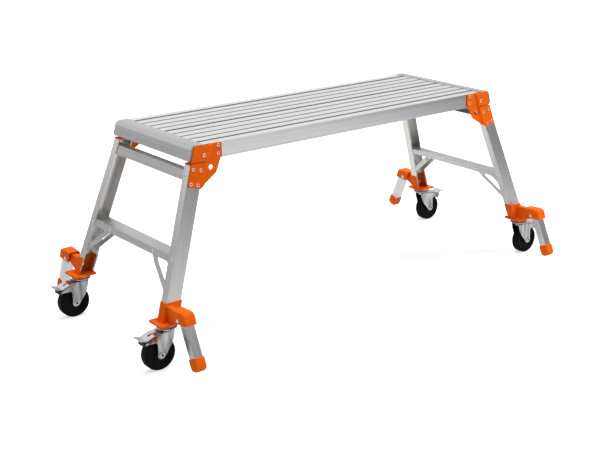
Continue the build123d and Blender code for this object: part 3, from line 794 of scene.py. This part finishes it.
@dataclass
class CornerPlates:
    """Pressed orange plates that hold the leg frames to the deck, with rivets, bolts and flange ends."""

    shop: Workshop
    legs: LegLine
    edge: float = 0.0007
    head: float = 0.0052
    rise: float = 0.0020
    pit: Pair = (0.0021, 0.0013)
    head_turns: int = 20
    column: float = 0.215
    lobe: float = 0.219
    on_rail: tuple[Pair, ...] = ((0.516, 0.610), (0.517, 0.5855))
    on_stile: tuple[Pair, ...] = ((0.6065, 0.5535), (0.582, 0.548), (0.6195, 0.5134), (0.5977, 0.5067))
    tail: tuple[Pair, ...] = (
        (0, 5.0), (1.5, 5.0), (2.4, 5.4), (3.2, 4.2), (3.5, 2.8), (3.2, 1.4), (2.6, 0.6), (2.6, -0.3),
        (0, -0.3))
    tail_turns: int = 14
    bolt: Triple = (0.567, 0.219, 0.5885)
    bolt_head: float = 0.0062
    bolt_rise: float = 0.0034
    bolt_pit: Pair = (0.0024, 0.0022)
    bolt_turns: int = 24
    shank: float = 0.0039
    shank_length: float = 0.024
    tongue: tuple[float, ...] = (0.5575, 0.5731, 0.1900, 0.2160, 0.56405, 0.56795)
    tongue_round: Pair = (0.005, 0.0003)
    tongue_steps: int = 6
    tongue_rim: Pair = (0.97, 0.0004)
    crease: float = math.radians(40)

    def build(self) -> None:
        """Dresses the plates and adds six rivets, four rivet tails, a bolt and a flange's end to each."""
        for corner in Corner:
            self.shop.dress("corner_plate_" + corner.label, self.shop.finishes.coat, self.edge)
        self.add_rivets()
        self.add_tails()
        self.add_bolts()
        self.add_tongues()

    def add_rivets(self) -> None:
        """Sets pitted domes on the rail's column and on the lobe over the stile."""
        seats = [(x, self.column, z) for x, z in self.on_rail]
        seats += [(x, self.lobe + self.legs.splay * (self.legs.kink - z), z) for x, z in self.on_stile]
        axes = [(0, 1, 0)] * len(self.on_rail) + [self.legs.sideways] * len(self.on_stile)
        head = dome(self.head, self.rise, *self.pit)
        rivets = turned_shells("corner_plate_rivets", head, spread(seats), spread(axes), self.head_turns)
        self.shop.finish(rivets, self.shop.finishes.rivet, "zinc")

    def add_tails(self) -> None:
        """Sets the upset ends of the stile rivets on each web's inner face: a profile in millimetres."""
        drop = self.legs.splay * (self.lobe - self.column + self.legs.wall)
        seats = [(x, self.legs.web(z - drop) - self.legs.wall, z - drop) for x, z in self.on_stile]
        axes = spread([-self.legs.sideways] * len(seats))
        tail = 0.001 * np.array(self.tail)
        tails = turned_shells("corner_plate_rivet_tails", tail, spread(seats), axes, self.tail_turns)
        self.shop.finish(tails, self.shop.finishes.rivet, "zinc")

    def add_bolts(self) -> None:
        """Button-headed bolts in the end bars: a pitted dome turned in one profile with its shank."""
        head = dome(self.bolt_head, self.bolt_rise, *self.bolt_pit)[:-2]
        length = -self.shank_length
        shank = [(self.bolt_head, 0), (self.shank, 0), (self.shank, length), (0, length)]
        seats, axes = spread([self.bolt]), spread([(0, 1, 0)])
        bolts = turned_shells("end_bolt_heads", np.vstack([head, shank]), seats, axes, self.bolt_turns)
        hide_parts("end_bolts")
        self.shop.finish(bolts, self.shop.finishes.rivet, "zinc")

    def add_tongues(self) -> None:
        """Rounded ends of the flanges behind the slits: a loop in X and Y carried up, with soft rims."""
        x0, x1, y0, y1, z0, z1 = self.tongue
        large, small = self.tongue_round
        corners = np.array([(x0, y0, large), (x1, y0, small), (x1, y1, small), (x0, y1, small)])
        middle = np.array([(x0 + x1) / 2, (y0 + y1) / 2])
        share, drop = self.tongue_rim
        rows = np.array([(share, z1), (1.0, z1 - drop), (1.0, z0 + drop), (share, z0)])
        flat = middle + rows[:, :1, None] * (rounded_loop(corners, self.tongue_steps) - middle)
        rise = np.broadcast_to(rows[:, 1:, None], flat.shape[:2] + (1,))
        rings = mirrored(np.concatenate([flat, rise], axis=-1))
        first, last = (spread([(*middle, z)]) for z in (z1, z0))
        tongues = closed_shells("corner_plate_tongues", first, rings, last)
        tongues.data.set_sharp_from_angle(angle=self.crease)
        self.shop.finish(tongues, self.shop.finishes.coat, "orange")


@dataclass
class LegFrames:
    """Stiles, crossbars, steps and braces of both ends, with their rivets and bolts."""

    shop: Workshop
    legs: LegLine
    edge: float = 0.0006
    stile_edge: float = 0.0012
    bolt_edge: float = 0.0004
    head: float = 0.0048
    rise: float = 0.0018
    pit: Pair = (0.0019, 0.0011)
    head_turns: int = 20
    crossbar_z: float = 0.535
    step_z: float = 0.306
    flange_in: float = 0.014
    lip_y: float = 0.127
    lip_z: float = 0.305

    def build(self) -> None:
        """Dresses every leg piece and adds the rivets of crossbars and steps."""
        finishes = self.shop.finishes
        self.dress_stiles()
        for end in End:
            self.shop.dress("crossbar_" + end.label, finishes.crossbar, self.edge)
            for piece in ("step_", "braces_"):
                self.shop.dress(piece + end.label, finishes.crosswise, self.edge)
            for piece in ("leg_bolts_", "swivel_heads_"):
                self.shop.dress(piece + end.label, finishes.zinc, self.bolt_edge)
        self.add_rivets()

    def dress_stiles(self) -> None:
        """Gives each stile an aluminium whose lines run up it."""
        for corner in Corner:
            metal = DrawnAluminium(
                "aluminium_stile_" + corner.label,
                along=(-self.legs.rake * corner.value[0], -self.legs.splay * corner.value[1], 1.0),
                colour=(0.668, 0.657, 0.640), rough=(0.27, 0.31), relief=0.012)
            self.shop.dress("stile_" + corner.label, metal.material(), self.stile_edge)

    def add_rivets(self) -> None:
        """Sets pitted domes on both flanges of the stiles and on both lips of the steps."""
        step, crossbar = (
            (self.legs.outer(z), self.legs.web(z) - self.flange_in, z)
            for z in (self.step_z, self.crossbar_z))
        face = self.legs.outer(self.lip_z)
        outer = [step, crossbar, (face - self.legs.wall, self.lip_y, self.lip_z)]
        inner = [
            (step[0] - self.legs.width, *step[1:]),
            (face - self.legs.width + self.legs.wall, self.lip_y, self.lip_z)]
        axes = spread([self.legs.outward] * len(outer) + [-self.legs.outward] * len(inner))
        head = dome(self.head, self.rise, *self.pit)
        rivets = turned_shells("leg_frame_rivets", head, spread(outer + inner), axes, self.head_turns)
        self.shop.finish(rivets, self.shop.finishes.rivet, "zinc")


@dataclass
class Casters:
    """Brackets, forks, wheels and brakes of the four casters.

    They get welds and linings at the brackets' sleeves, bearing balls and axle nuts. The sleeve is given by
    its lowest and highest X and Y where it stands on the base plate.
    """

    shop: Workshop
    legs: LegLine
    edge: float = 0.0006
    swivel_x: float = 0.74496
    swivel_y: float = 0.259
    trail: float = 0.033
    axle_z: float = 0.050
    cheek: float = 0.021
    race_radius: float = 0.0255
    race_z: float = 0.12825
    ball: float = 0.0016
    balls: int = 24
    ball_rows: int = 7
    ball_turns: int = 8
    nut_flat: float = 0.0078
    nut_rise: float = 0.0046
    nut_profile: tuple[Pair, ...] = (
        (0, 0.0003), (0.44, 0.0003), (0.48, 0.0001), (0.51, 0), (0.64, 0), (0.68, 0.0007), (0.84, 0.0009),
        (1, 0.0019), (1, 0.0048), (0, 0.0048))
    nut_turns: int = 24
    nut_sides: int = 6
    nut_crease: float = math.radians(34)
    base_top: float = 0.140
    sleeve: tuple[float, float, float, float] = (0.71046, 0.76346, 0.2405, 0.271)
    weld: float = 0.0021
    weld_pitch: float = 0.0032
    weld_ripple: float = 0.14
    weld_turns: int = 8
    lining: float = 0.0018
    lining_depth: float = 0.022
    lining_rise: float = 0.054
    lining_bite: float = 0.0003
    lining_crease: float = math.radians(40)

    def build(self) -> None:
        """Dresses the nodes of each corner and adds balls, nuts, welds and linings."""
        finishes = self.shop.finishes
        for corner in Corner:
            swivel = np.array([self.swivel_x, self.swivel_y, self.race_z]) * corner.signs
            axle = (swivel[0] + self.trail * corner.value[0], swivel[1], self.axle_z)
            rubber = WheelRubber("wheel_rubber_" + corner.label, axle).material()
            self.shop.dress("wheel_" + corner.label, rubber)
            for piece, material in (
                    ("caster_bracket_", finishes.coat), ("fork_", finishes.fork), ("pedal_", finishes.zinc),
                    ("brake_block_", finishes.block)):
                self.shop.dress(piece + corner.label, material, self.edge)
            self.add_balls(corner, swivel)
            self.add_nuts(corner, np.array(axle))
        self.add_welds()
        self.add_linings()

    def add_balls(self, corner: Corner, swivel: Array) -> None:
        """Sets a ring of bearing balls in the swivel's gap, each half a circle turned.

        Args:
            corner: Corner of the caster.
            swivel: Middle of the ring.
        """
        turn = np.linspace(0, 2 * np.pi, self.balls, endpoint=False)
        seats = swivel + self.race_radius * np.column_stack([np.cos(turn), np.sin(turn), 0 * turn])
        slope = np.linspace(np.pi / 2, -np.pi / 2, self.ball_rows)
        sphere = self.ball * np.column_stack([np.cos(slope), np.sin(slope)])
        axes = np.tile([0.0, 0.0, 1.0], (self.balls, 1))
        ring = turned_shells("bearing_balls_" + corner.label, sphere, seats, axes, self.ball_turns)
        self.shop.finish(ring, self.shop.finishes.grease, "zinc", corner.label + "_caster")

    def add_nuts(self, corner: Corner, axle: Array) -> None:
        """Sets a six-sided nut with a rounded crown on each end of the axle.

        The profile is a share of the nut's half width and a drop from its top.

        Args:
            corner: Corner of the caster.
            axle: Middle of the wheel.
        """
        share, drop = np.array(self.nut_profile).T
        profile = np.column_stack([share * self.nut_flat, self.nut_rise - drop])
        axes = np.array([(0.0, 1.0, 0.0), (0.0, -1.0, 0.0)])
        seats = axle + self.cheek * axes
        name = "axle_nuts_" + corner.label
        nuts = turned_shells(name, profile, seats, axes, self.nut_turns, self.nut_sides)
        nuts.modifiers.new("sides", "EDGE_SPLIT").split_angle = self.nut_crease
        self.shop.finish(nuts, self.shop.finishes.axle, "zinc", corner.label + "_caster")

    def add_welds(self) -> None:
        """Runs a weld bead round the three sides of each sleeve where it stands on its base plate.

        A bead is circles square to its path, whose radius swells as a cosine of the length run.
        """
        x0, x1, y0, y1 = self.sleeve
        corners = np.array([(x1, y0), (x1, y1), (x0, y1), (x0, y0)])
        lengths = np.concatenate([[0], np.cumsum(np.linalg.norm(np.diff(corners, axis=0), axis=1))])
        along = np.arange(0, lengths[-1], self.weld_pitch / 4)
        flat = [np.interp(along, lengths, corners[:, i]) for i in range(2)]
        path = SIGNS[:, None] * np.column_stack([*flat, np.full(len(along), self.base_top)])
        ahead = unit(np.gradient(path, axis=1))
        run = np.cumsum(np.linalg.norm(np.diff(path, axis=1, prepend=path[:, :1]), axis=-1), axis=1)
        swell = self.weld * (1 + self.weld_ripple * np.cos(2 * np.pi * run / self.weld_pitch))
        side = np.stack([-ahead[..., 1], ahead[..., 0], np.zeros(run.shape)], axis=-1)[:, :, None]
        angle = np.linspace(0, 2 * np.pi, self.weld_turns, endpoint=False)[:, None]
        circle = np.cos(angle) * np.array([0.0, 0.0, 1.0]) + np.sin(angle) * side
        rings = path[:, :, None] + swell[..., None, None] * circle
        welds = closed_shells("sleeve_welds", path[:, 0], rings, path[:, -1])
        self.shop.finish(welds, self.shop.finishes.coat, "orange")

    def add_linings(self) -> None:
        """Inner walls of the sleeves: a C inside the stile, carried up its slope from the base plate.

        Each ring goes round the wall's section, and the rings follow the C from one flange to the other.
        """
        shift = 2 * self.legs.wall - self.lining_bite
        x0, x1, y1 = self.sleeve[0] + shift, self.sleeve[1] - shift, self.sleeve[3] - shift
        y0, wall = y1 - self.lining_depth, self.lining
        outer = np.array([(x0, y0), (x0, y1), (x1, y1), (x1, y0)])
        inner = outer + wall * np.array([(1, 0), (1, -1), (-1, -1), (-1, 0)])
        low, high = -self.lining_bite, self.lining_rise
        rise = np.array([low, low, high, high])[:, None]
        slope = np.array([self.legs.rake, self.legs.splay])
        flat = np.stack([outer, inner, inner, outer], axis=1) - rise * slope
        height = np.broadcast_to(self.base_top + rise, flat.shape[:2] + (1,))
        rings = np.concatenate([flat, height], axis=-1)
        first, last = (spread([rings[row].mean(axis=0)]) for row in (0, -1))
        linings = closed_shells("sleeve_linings", first, mirrored(rings), last)
        linings.data.set_sharp_from_angle(angle=self.lining_crease)
        # The linings take the darker orange, which is painted shade inside the channel.
        self.shop.finish(linings, self.shop.finishes.shaded_coat, "orange")


@dataclass
class Stabilisers:
    """Fixed hoods on the brackets' arms and the swinging tubes and feet, with ribbed soles."""

    shop: Workshop
    lean: float = math.radians(25)
    edge: float = 0.0012
    hood_half: float = 0.0173
    hood_round: float = 0.0036
    hood_wall: float = 0.0028
    hood_pole: Pair = (0.3175, 0.1575)
    hood_back: Pair = (0.3090, 0.1895)
    hood_lip: Pair = (0.3775, 0.1612)
    hood_rise: float = 0.0318
    hood_slope: float = 0.34
    hood_power: float = 0.22
    hood_rows: int = 32
    hood_bend: int = 7
    hood_crease: float = math.radians(45)
    cap_height: float = 0.037
    cap_half: Pair = (0.018, 0.017)
    cap_round: float = 0.0045
    cap_steps: int = 6
    cap_rim: tuple[Pair, ...] = ((0.94, 0.0), (0.985, 0.0004), (1.0, 0.0015))
    cap_crease: float = math.radians(50)
    socket_half: float = 0.014
    socket_round: float = 0.0003
    socket_floor: float = 0.005
    dome: float = 0.019
    dome_flat: float = 0.66
    dome_power: float = 2.4
    dome_rows: int = 12
    sole: Triple = (0.73696, 0.41327, 0.03613)
    sole_half: Triple = (0.0116, 0.0106, 0.0014)
    sole_drop: float = 0.0008
    sole_power: float = 0.25
    sole_rows: int = 25
    sole_turns: int = 64
    ribs: float = 0.006
    rib_depth: float = 0.0006

    def build(self) -> None:
        """Dresses the tubes along their length, and gives each corner its hood, domed cap and sole."""
        for corner in Corner:
            metal = DrawnAluminium(
                "aluminium_tube_" + corner.label, along=tuple(self.axes(corner)[2]),
                colour=(0.60, 0.602, 0.61), rough=(0.21, 0.24), sway=0.06, relief=0.006)
            self.shop.dress("tube_" + corner.label, metal.material(), self.edge)
            self.add_hood(corner)
            self.add_cap(corner)
            self.add_sole(corner)

    def axes(self, corner: Corner) -> Array:
        """Directions across, out from and up along a stabiliser.

        Args:
            corner: Corner of the stabiliser.

        Returns:
            The three directions as rows.
        """
        sign = corner.value[1]
        out = np.array([0.0, math.cos(self.lean) * sign, math.sin(self.lean)])
        axis = np.array([0.0, -math.sin(self.lean) * sign, math.cos(self.lean)])
        return np.stack([np.cross(out, axis), out, axis])

    def hood_grid(self) -> Array:
        """Straight lines from the low inner corner of each cheek to a path over the roof and down the wall.

        The path is a quarter of a superellipse of about the ninth power, sheared so that the wall leans and
        the roof dips inwards. Across the hood a quarter circle takes each cheek over into the roof or wall.

        Returns:
            Points along the path by points across, by 3.
        """
        turn = np.linspace(np.pi / 2, 0, self.hood_rows)
        out = np.clip(np.cos(turn), 0, 1) ** self.hood_power
        up = np.clip(np.sin(turn), 0, 1) ** self.hood_power
        dip = self.hood_lip[1] + self.hood_rise - self.hood_back[1]
        run = self.hood_lip[0] - self.hood_back[0]
        path = np.column_stack([
            self.hood_back[0] + run * out - self.hood_slope * self.hood_rise * out * up,
            self.hood_lip[1] + self.hood_rise * up - dip * (1 - out) * up,
        ])
        pole = np.array(self.hood_pole)
        reach = np.linalg.norm(path - pole, axis=1)[:, None]
        bend = np.linspace(0, np.pi / 2, self.hood_bend)
        shares = np.array([0.25, 0.5, 0.75])
        side = np.full(len(shares), self.hood_half)
        across = self.hood_half - self.hood_round * (1 - np.cos(bend))
        level = np.linspace(1, -1, 5)[1:-1] * (self.hood_half - self.hood_round)
        wide = np.concatenate([side, across, level, -across[::-1], -side])
        cheek = (reach - self.hood_round) * shares
        arc = reach - self.hood_round * (1 - np.sin(bend))
        flat = np.repeat(reach, len(level), axis=1)
        length = np.concatenate([cheek, arc, flat, arc[:, ::-1], cheek[:, ::-1]], axis=1)
        place = pole + (length / reach)[..., None] * (path - pole)[:, None]
        middle = np.broadcast_to(wide[:, None] + self.sole[0], place.shape[:2] + (1,))
        return np.concatenate([middle, place], axis=-1)

    def add_hood(self, corner: Corner) -> None:
        """Cast hood: its grid, with a fan of faces at the low inner corner of each cheek, given a wall.

        Args:
            corner: Corner of the stabiliser.
        """
        grid = self.hood_grid()
        ends = np.array([(self.sole[0] + side * self.hood_half, *self.hood_pole) for side in (1, -1)])
        rows, columns, _ = grid.shape
        here = np.arange(rows - 1)[:, None] * columns + np.arange(columns - 1)
        quads = np.stack([here, here + 1, here + columns + 1, here + columns], axis=-1).reshape(-1, 4)
        edge = np.arange(rows - 1) * columns
        pole = np.full(rows - 1, rows * columns)
        first = np.stack([pole, edge, edge + columns], axis=-1)
        last = np.stack([pole + 1, edge + 2 * columns - 1, edge + columns - 1], axis=-1)
        faces = [*quads.tolist(), *first.tolist(), *last.tolist()]
        if np.prod(corner.value) < 0:
            faces = [face[::-1] for face in faces]
        points = np.concatenate([grid.reshape(-1, 3), ends]) * corner.signs
        hood = mesh_object("cast_hood_" + corner.label, points, faces)
        wall = hood.modifiers.new("wall", "SOLIDIFY")
        wall.thickness = self.hood_wall
        wall.offset = -1.0
        hood.modifiers.new("lips", "EDGE_SPLIT").split_angle = self.hood_crease
        hood.modifiers.new("shade", "WEIGHTED_NORMAL")
        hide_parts("hood_" + corner.label)
        self.shop.finish(hood, self.shop.finishes.coat, "orange")

    def add_cap(self, corner: Corner) -> None:
        """Moulded foot: rounded squares up the socket, over the rim and down the walls to a domed end.

        The dome's half width goes from the whole one to its flat share by the root of one less the power of
        the share of its depth.

        Args:
            corner: Corner of the stabiliser.
        """
        square = np.array([(-1, -1), (1, -1), (1, 1), (-1, 1)])
        socket, wall = (
            rounded_loop(np.column_stack([square * half, np.full(4, radius)]), self.cap_steps)
            for half, radius in ((self.socket_half, self.socket_round), (self.cap_half, self.cap_round)))
        depth = np.linspace(0, 1, self.dome_rows)
        narrow = (1 - depth**self.dome_power) ** (1 / self.dome_power)
        share, drop = np.array(self.cap_rim).T
        scale = np.concatenate([share, self.dome_flat + (1 - self.dome_flat) * narrow])
        flat = np.concatenate([np.repeat(socket[None], 2, axis=0), scale[:, None, None] * wall])
        rise = np.concatenate([
            [self.socket_floor, self.cap_height], self.cap_height - drop, self.dome * (1 - depth)])
        across, out, axis = self.axes(corner)
        base = np.array(self.sole) * corner.signs
        rings = base + flat[..., :1] * across + flat[..., 1:] * out + rise[:, None, None] * axis
        first = base + self.socket_floor * axis
        cap = closed_shells("foot_cap_" + corner.label, first[None], rings[None], base[None])
        cap.data.set_sharp_from_angle(angle=self.cap_crease)
        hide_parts("foot_" + corner.label)
        self.shop.finish(cap, self.shop.finishes.cap, "orange_cap", corner.label + "_stabiliser")

    def add_sole(self, corner: Corner) -> None:
        """Ribbed pad under a foot: a flat rounded box whose underside rises and falls as a cosine.

        A point is half size times the signed fourth root of the cosines and sines of its two angles.

        Args:
            corner: Corner of the stabiliser.
        """
        slope = np.linspace(np.pi / 2, -np.pi / 2, self.sole_rows + 2)[1:-1, None]
        angle = np.linspace(0, 2 * np.pi, self.sole_turns, endpoint=False)[None]

        def root(value: Array) -> Array:
            """Signed root."""
            return np.sign(value) * np.abs(value) ** self.sole_power

        across = self.sole_half[0] * root(np.cos(slope)) * root(np.cos(angle))
        deep = self.sole_half[1] * root(np.cos(slope)) * root(np.sin(angle))
        under = np.clip(-np.sin(slope), 0, 1) ** 0.5
        ribs = self.rib_depth * (0.5 + 0.5 * np.cos(2 * np.pi * across / self.ribs))
        up = self.sole_half[2] * root(np.sin(slope)) + under * ribs
        flat, out, axis = self.axes(corner)
        centre = np.array(self.sole) * corner.signs - axis * self.sole_drop
        rings = centre + across[..., None] * flat + deep[..., None] * out + up[..., None] * axis
        first = centre + axis * self.sole_half[2]
        last = centre - axis * (self.sole_half[2] - self.rib_depth)
        pad = closed_shells("foot_sole_" + corner.label, first[None], rings[None], last[None])
        self.shop.finish(pad, self.shop.finishes.block, "tyre", corner.label + "_stabiliser")


@dataclass(frozen=True)
class Lamp:
    """Soft square lamp: where it hangs, the length of its sides and its power in watts."""

    name: str
    place: Triple
    size: float
    power: float

    def hang(self, aim: Triple) -> None:
        """Hangs the lamp so that it points at a place, unseen by the camera and by metal.

        Args:
            aim: Where it points.
        """
        data = bpy.data.lights.new(self.name, "AREA")
        data.energy = self.power
        data.size = self.size
        lamp = bpy.data.objects.new(self.name, data)
        lamp.location = self.place
        lamp.rotation_euler = (Vector(aim) - Vector(self.place)).to_track_quat("-Z", "Y").to_euler()
        lamp.visible_camera = False
        lamp.visible_glossy = False
        bpy.context.scene.collection.objects.link(lamp)


@dataclass
class Studio:
    """Pale floor, soft light and the camera at the photograph's angle.

    The camera's focal length and middle are in pixels of the image. A reach is two distances between which
    the floor goes from one value to another.
    """

    image: tuple[int, int] = (600, 450)
    place: Triple = (-2.2687, -2.8971, 1.4181)
    azimuth: float = -40.52
    elevation: float = 18.70
    focal: float = 1137.3
    middle: Pair = (361.0, 233.0)
    sensor: float = 36.0
    clip: Pair = (0.05, 100.0)
    sky: float = 0.19
    aim: Triple = (0.0, 0.0, 0.3)
    lamps: tuple[Lamp, ...] = (
        Lamp("left_lamp", (-3.2, -0.4, 2.6), 2.4, 14.0),
        Lamp("top_lamp", (0.2, 0.4, 3.8), 2.6, 150.0),
        Lamp("right_lamp", (2.8, -2.2, 2.4), 1.8, 98.0))
    floor_rings: tuple[float, ...] = (0.001, 0.8, 1.6, 2.4, 3.6, 5.0, 9.0)
    floor_turns: int = 64
    paper: float = 0.82
    paper_grain: float = 60.0
    paper_sway: float = 0.01
    lift: Pair = (0.58, 1.0)
    lift_reach: Pair = (1.2, 2.4)
    shadow_paper: float = 0.60
    shadow_fill: float = 0.30
    shadow_reach: Pair = (0.9, 1.8)
    fall_end: float = 4.0
    fall: Stops = (
        (0.40, (0.70, 0.70, 0.70)), (0.56, (1.0, 1.0, 1.0)), (0.66, (1.0, 1.0, 1.0)),
        (0.755, (0.50, 0.50, 0.51)), (0.91, (0.22, 0.22, 0.23)))
    wall_radius: float = 8.5
    wall_foot: float = -0.02
    wall_height: float = 4.8
    wall_rows: int = 7
    wall_turns: int = 48
    wall_tilt: Triple = (-0.03, 0.20, 1.0)
    wall_white: float = 3.8
    wall_greys: Stops = (
        (0.0, (0.32, 0.32, 0.33)), (0.40, (0.42, 0.42, 0.43)), (0.60, (0.52, 0.52, 0.53)),
        (0.80, (0.95, 0.95, 0.95)), (1.0, (1.0, 1.0, 1.0)))

    def build(self) -> None:
        """Makes the floor, the wall behind the reflections, the lamps, the world and the camera."""
        bpy.context.scene.view_settings.view_transform = "Standard"
        self.add_floor()
        self.add_wall()
        for lamp in self.lamps:
            lamp.hang(self.aim)
        self.add_world()
        self.add_camera()

    def sheet(self, name: str, radius: Array, height: Array, turns: int) -> Piece:
        """Surface turned about Z: radius and height of each row, carried round by the angle.

        Args:
            name: Name of the piece.
            radius: Of each row.
            height: Of each row.
            turns: Points round each row.

        Returns:
            The object.
        """
        angle = np.linspace(0, 2 * np.pi, turns, endpoint=False)
        flat = radius[:, None, None] * np.column_stack([np.cos(angle), np.sin(angle)])
        rise = np.broadcast_to(height[:, None, None], flat.shape[:2] + (1,))
        points = np.concatenate([flat, rise], axis=-1).reshape(-1, 3)
        made = mesh_object(name, points, wall_faces(len(radius), turns).tolist())
        return made

    def add_floor(self) -> None:
        """Disc at z = 0, lit by the lamps and lifted to white for the camera.

        Metal sees it with soft shadows near the platform and as a plain grey, darker far off, further out.
        """
        rings = np.array(self.floor_rings)
        floor = self.sheet("floor", rings, 0 * rings, self.floor_turns)
        shader = Shader("floor_paper")
        far = shader.distance((1, 1, 0))
        grey = shader.ramp(shader.noise(self.paper_grain), around((self.paper,) * 3, self.paper_sway))
        lit = shader.node("BsdfDiffuse", grey).outputs["BSDF"]
        lift = shader.node("Emission", Strength=shader.span(far, *self.lift, self.lift_reach))
        white = shader.node("AddShader", lit, lift.outputs["Emission"]).outputs["Shader"]
        dim = shader.node("BsdfDiffuse", (*(self.shadow_paper,) * 3, 1.0))
        fill = shader.node("Emission", Strength=self.shadow_fill)
        near = shader.node("AddShader", dim.outputs["BSDF"], fill.outputs["Emission"]).outputs["Shader"]
        share = shader.span(far, 0.0, 1.0, (0.0, self.fall_end))
        further = shader.node("Emission", shader.ramp(share, self.fall)).outputs["Emission"]
        for_metal = shader.mix(shader.span(far, 0.0, 1.0, self.shadow_reach), near, further)
        for_camera = shader.mix(shader.any_ray("Is Camera Ray", "Is Transmission Ray"), lit, white)
        result = shader.mix(shader.any_ray("Is Glossy Ray"), for_camera, for_metal)
        floor.data.materials.append(shader.show(result))

    def add_wall(self) -> None:
        """Dim wall round the studio that only reflections see: a cylinder, dark below and white above.

        The grey goes by the height plus shares of X and Y, so that the front stays dark higher up.
        """
        height = np.linspace(self.wall_foot, self.wall_height, self.wall_rows)
        wall = self.sheet("studio_wall", np.full(self.wall_rows, self.wall_radius), height, self.wall_turns)
        wall.visible_camera = False
        wall.visible_diffuse = False
        wall.visible_transmission = False
        wall.visible_shadow = False
        shader = Shader("studio_wall_grey")
        rise = shader.span(shader.along(self.wall_tilt), 0.0, 1.0, (0.0, self.wall_white))
        glow = shader.node("Emission", shader.ramp(rise, self.wall_greys))
        wall.data.materials.append(shader.show(glow.outputs["Emission"]))

    def add_world(self) -> None:
        """White for what the camera and polished metal see, and an even sky for soft light."""
        world = bpy.data.worlds.new("studio")
        bpy.context.scene.world = world
        world.use_nodes = True
        tree = Tree(world.node_tree)
        soft, white = (
            tree.node("Background", (1.0, 1.0, 1.0, 1.0), strength).outputs["Background"]
            for strength in (self.sky, 1.0))
        seen = tree.any_ray("Is Camera Ray", "Is Glossy Ray", "Is Transmission Ray")
        tree.node("OutputWorld", tree.mix(seen, soft, white))

    def add_camera(self) -> None:
        """Camera from its measured place, angles, focal length and middle of the picture."""
        width, height = self.image
        data = bpy.data.cameras.new("camera")
        data.sensor_fit = "HORIZONTAL"
        data.sensor_width = self.sensor
        data.lens = self.focal * self.sensor / width
        data.shift_x = (width / 2 - self.middle[0]) / width
        data.shift_y = (self.middle[1] - height / 2) / width
        data.clip_start, data.clip_end = self.clip
        camera = bpy.data.objects.new("camera", data)
        turn, tilt = math.radians(self.azimuth), math.radians(self.elevation)
        back = Vector((math.sin(turn) * math.cos(tilt), -math.cos(turn) * math.cos(tilt), math.sin(tilt)))
        right = Vector((math.cos(turn), math.sin(turn), 0.0))
        axes = Matrix((right, back.cross(right), back)).transposed()
        camera.matrix_world = Matrix.Translation(self.place) @ axes.to_4x4()
        bpy.context.scene.collection.objects.link(camera)
        bpy.context.scene.camera = camera


def main() -> None:
    """Loads the solids, dresses each sub-assembly in order and sets up the studio."""
    logging.basicConfig(level=logging.INFO, format="%(message)s")
    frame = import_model()
    shop = Workshop(frame["nodes"], Finishes())
    legs = LegLine()
    Deck(shop).build()
    CornerPlates(shop, legs).build()
    LegFrames(shop, legs).build()
    Casters(shop, legs).build()
    Stabilisers(shop).build()
    Studio().build()


if __name__ == "__main__":
    main()
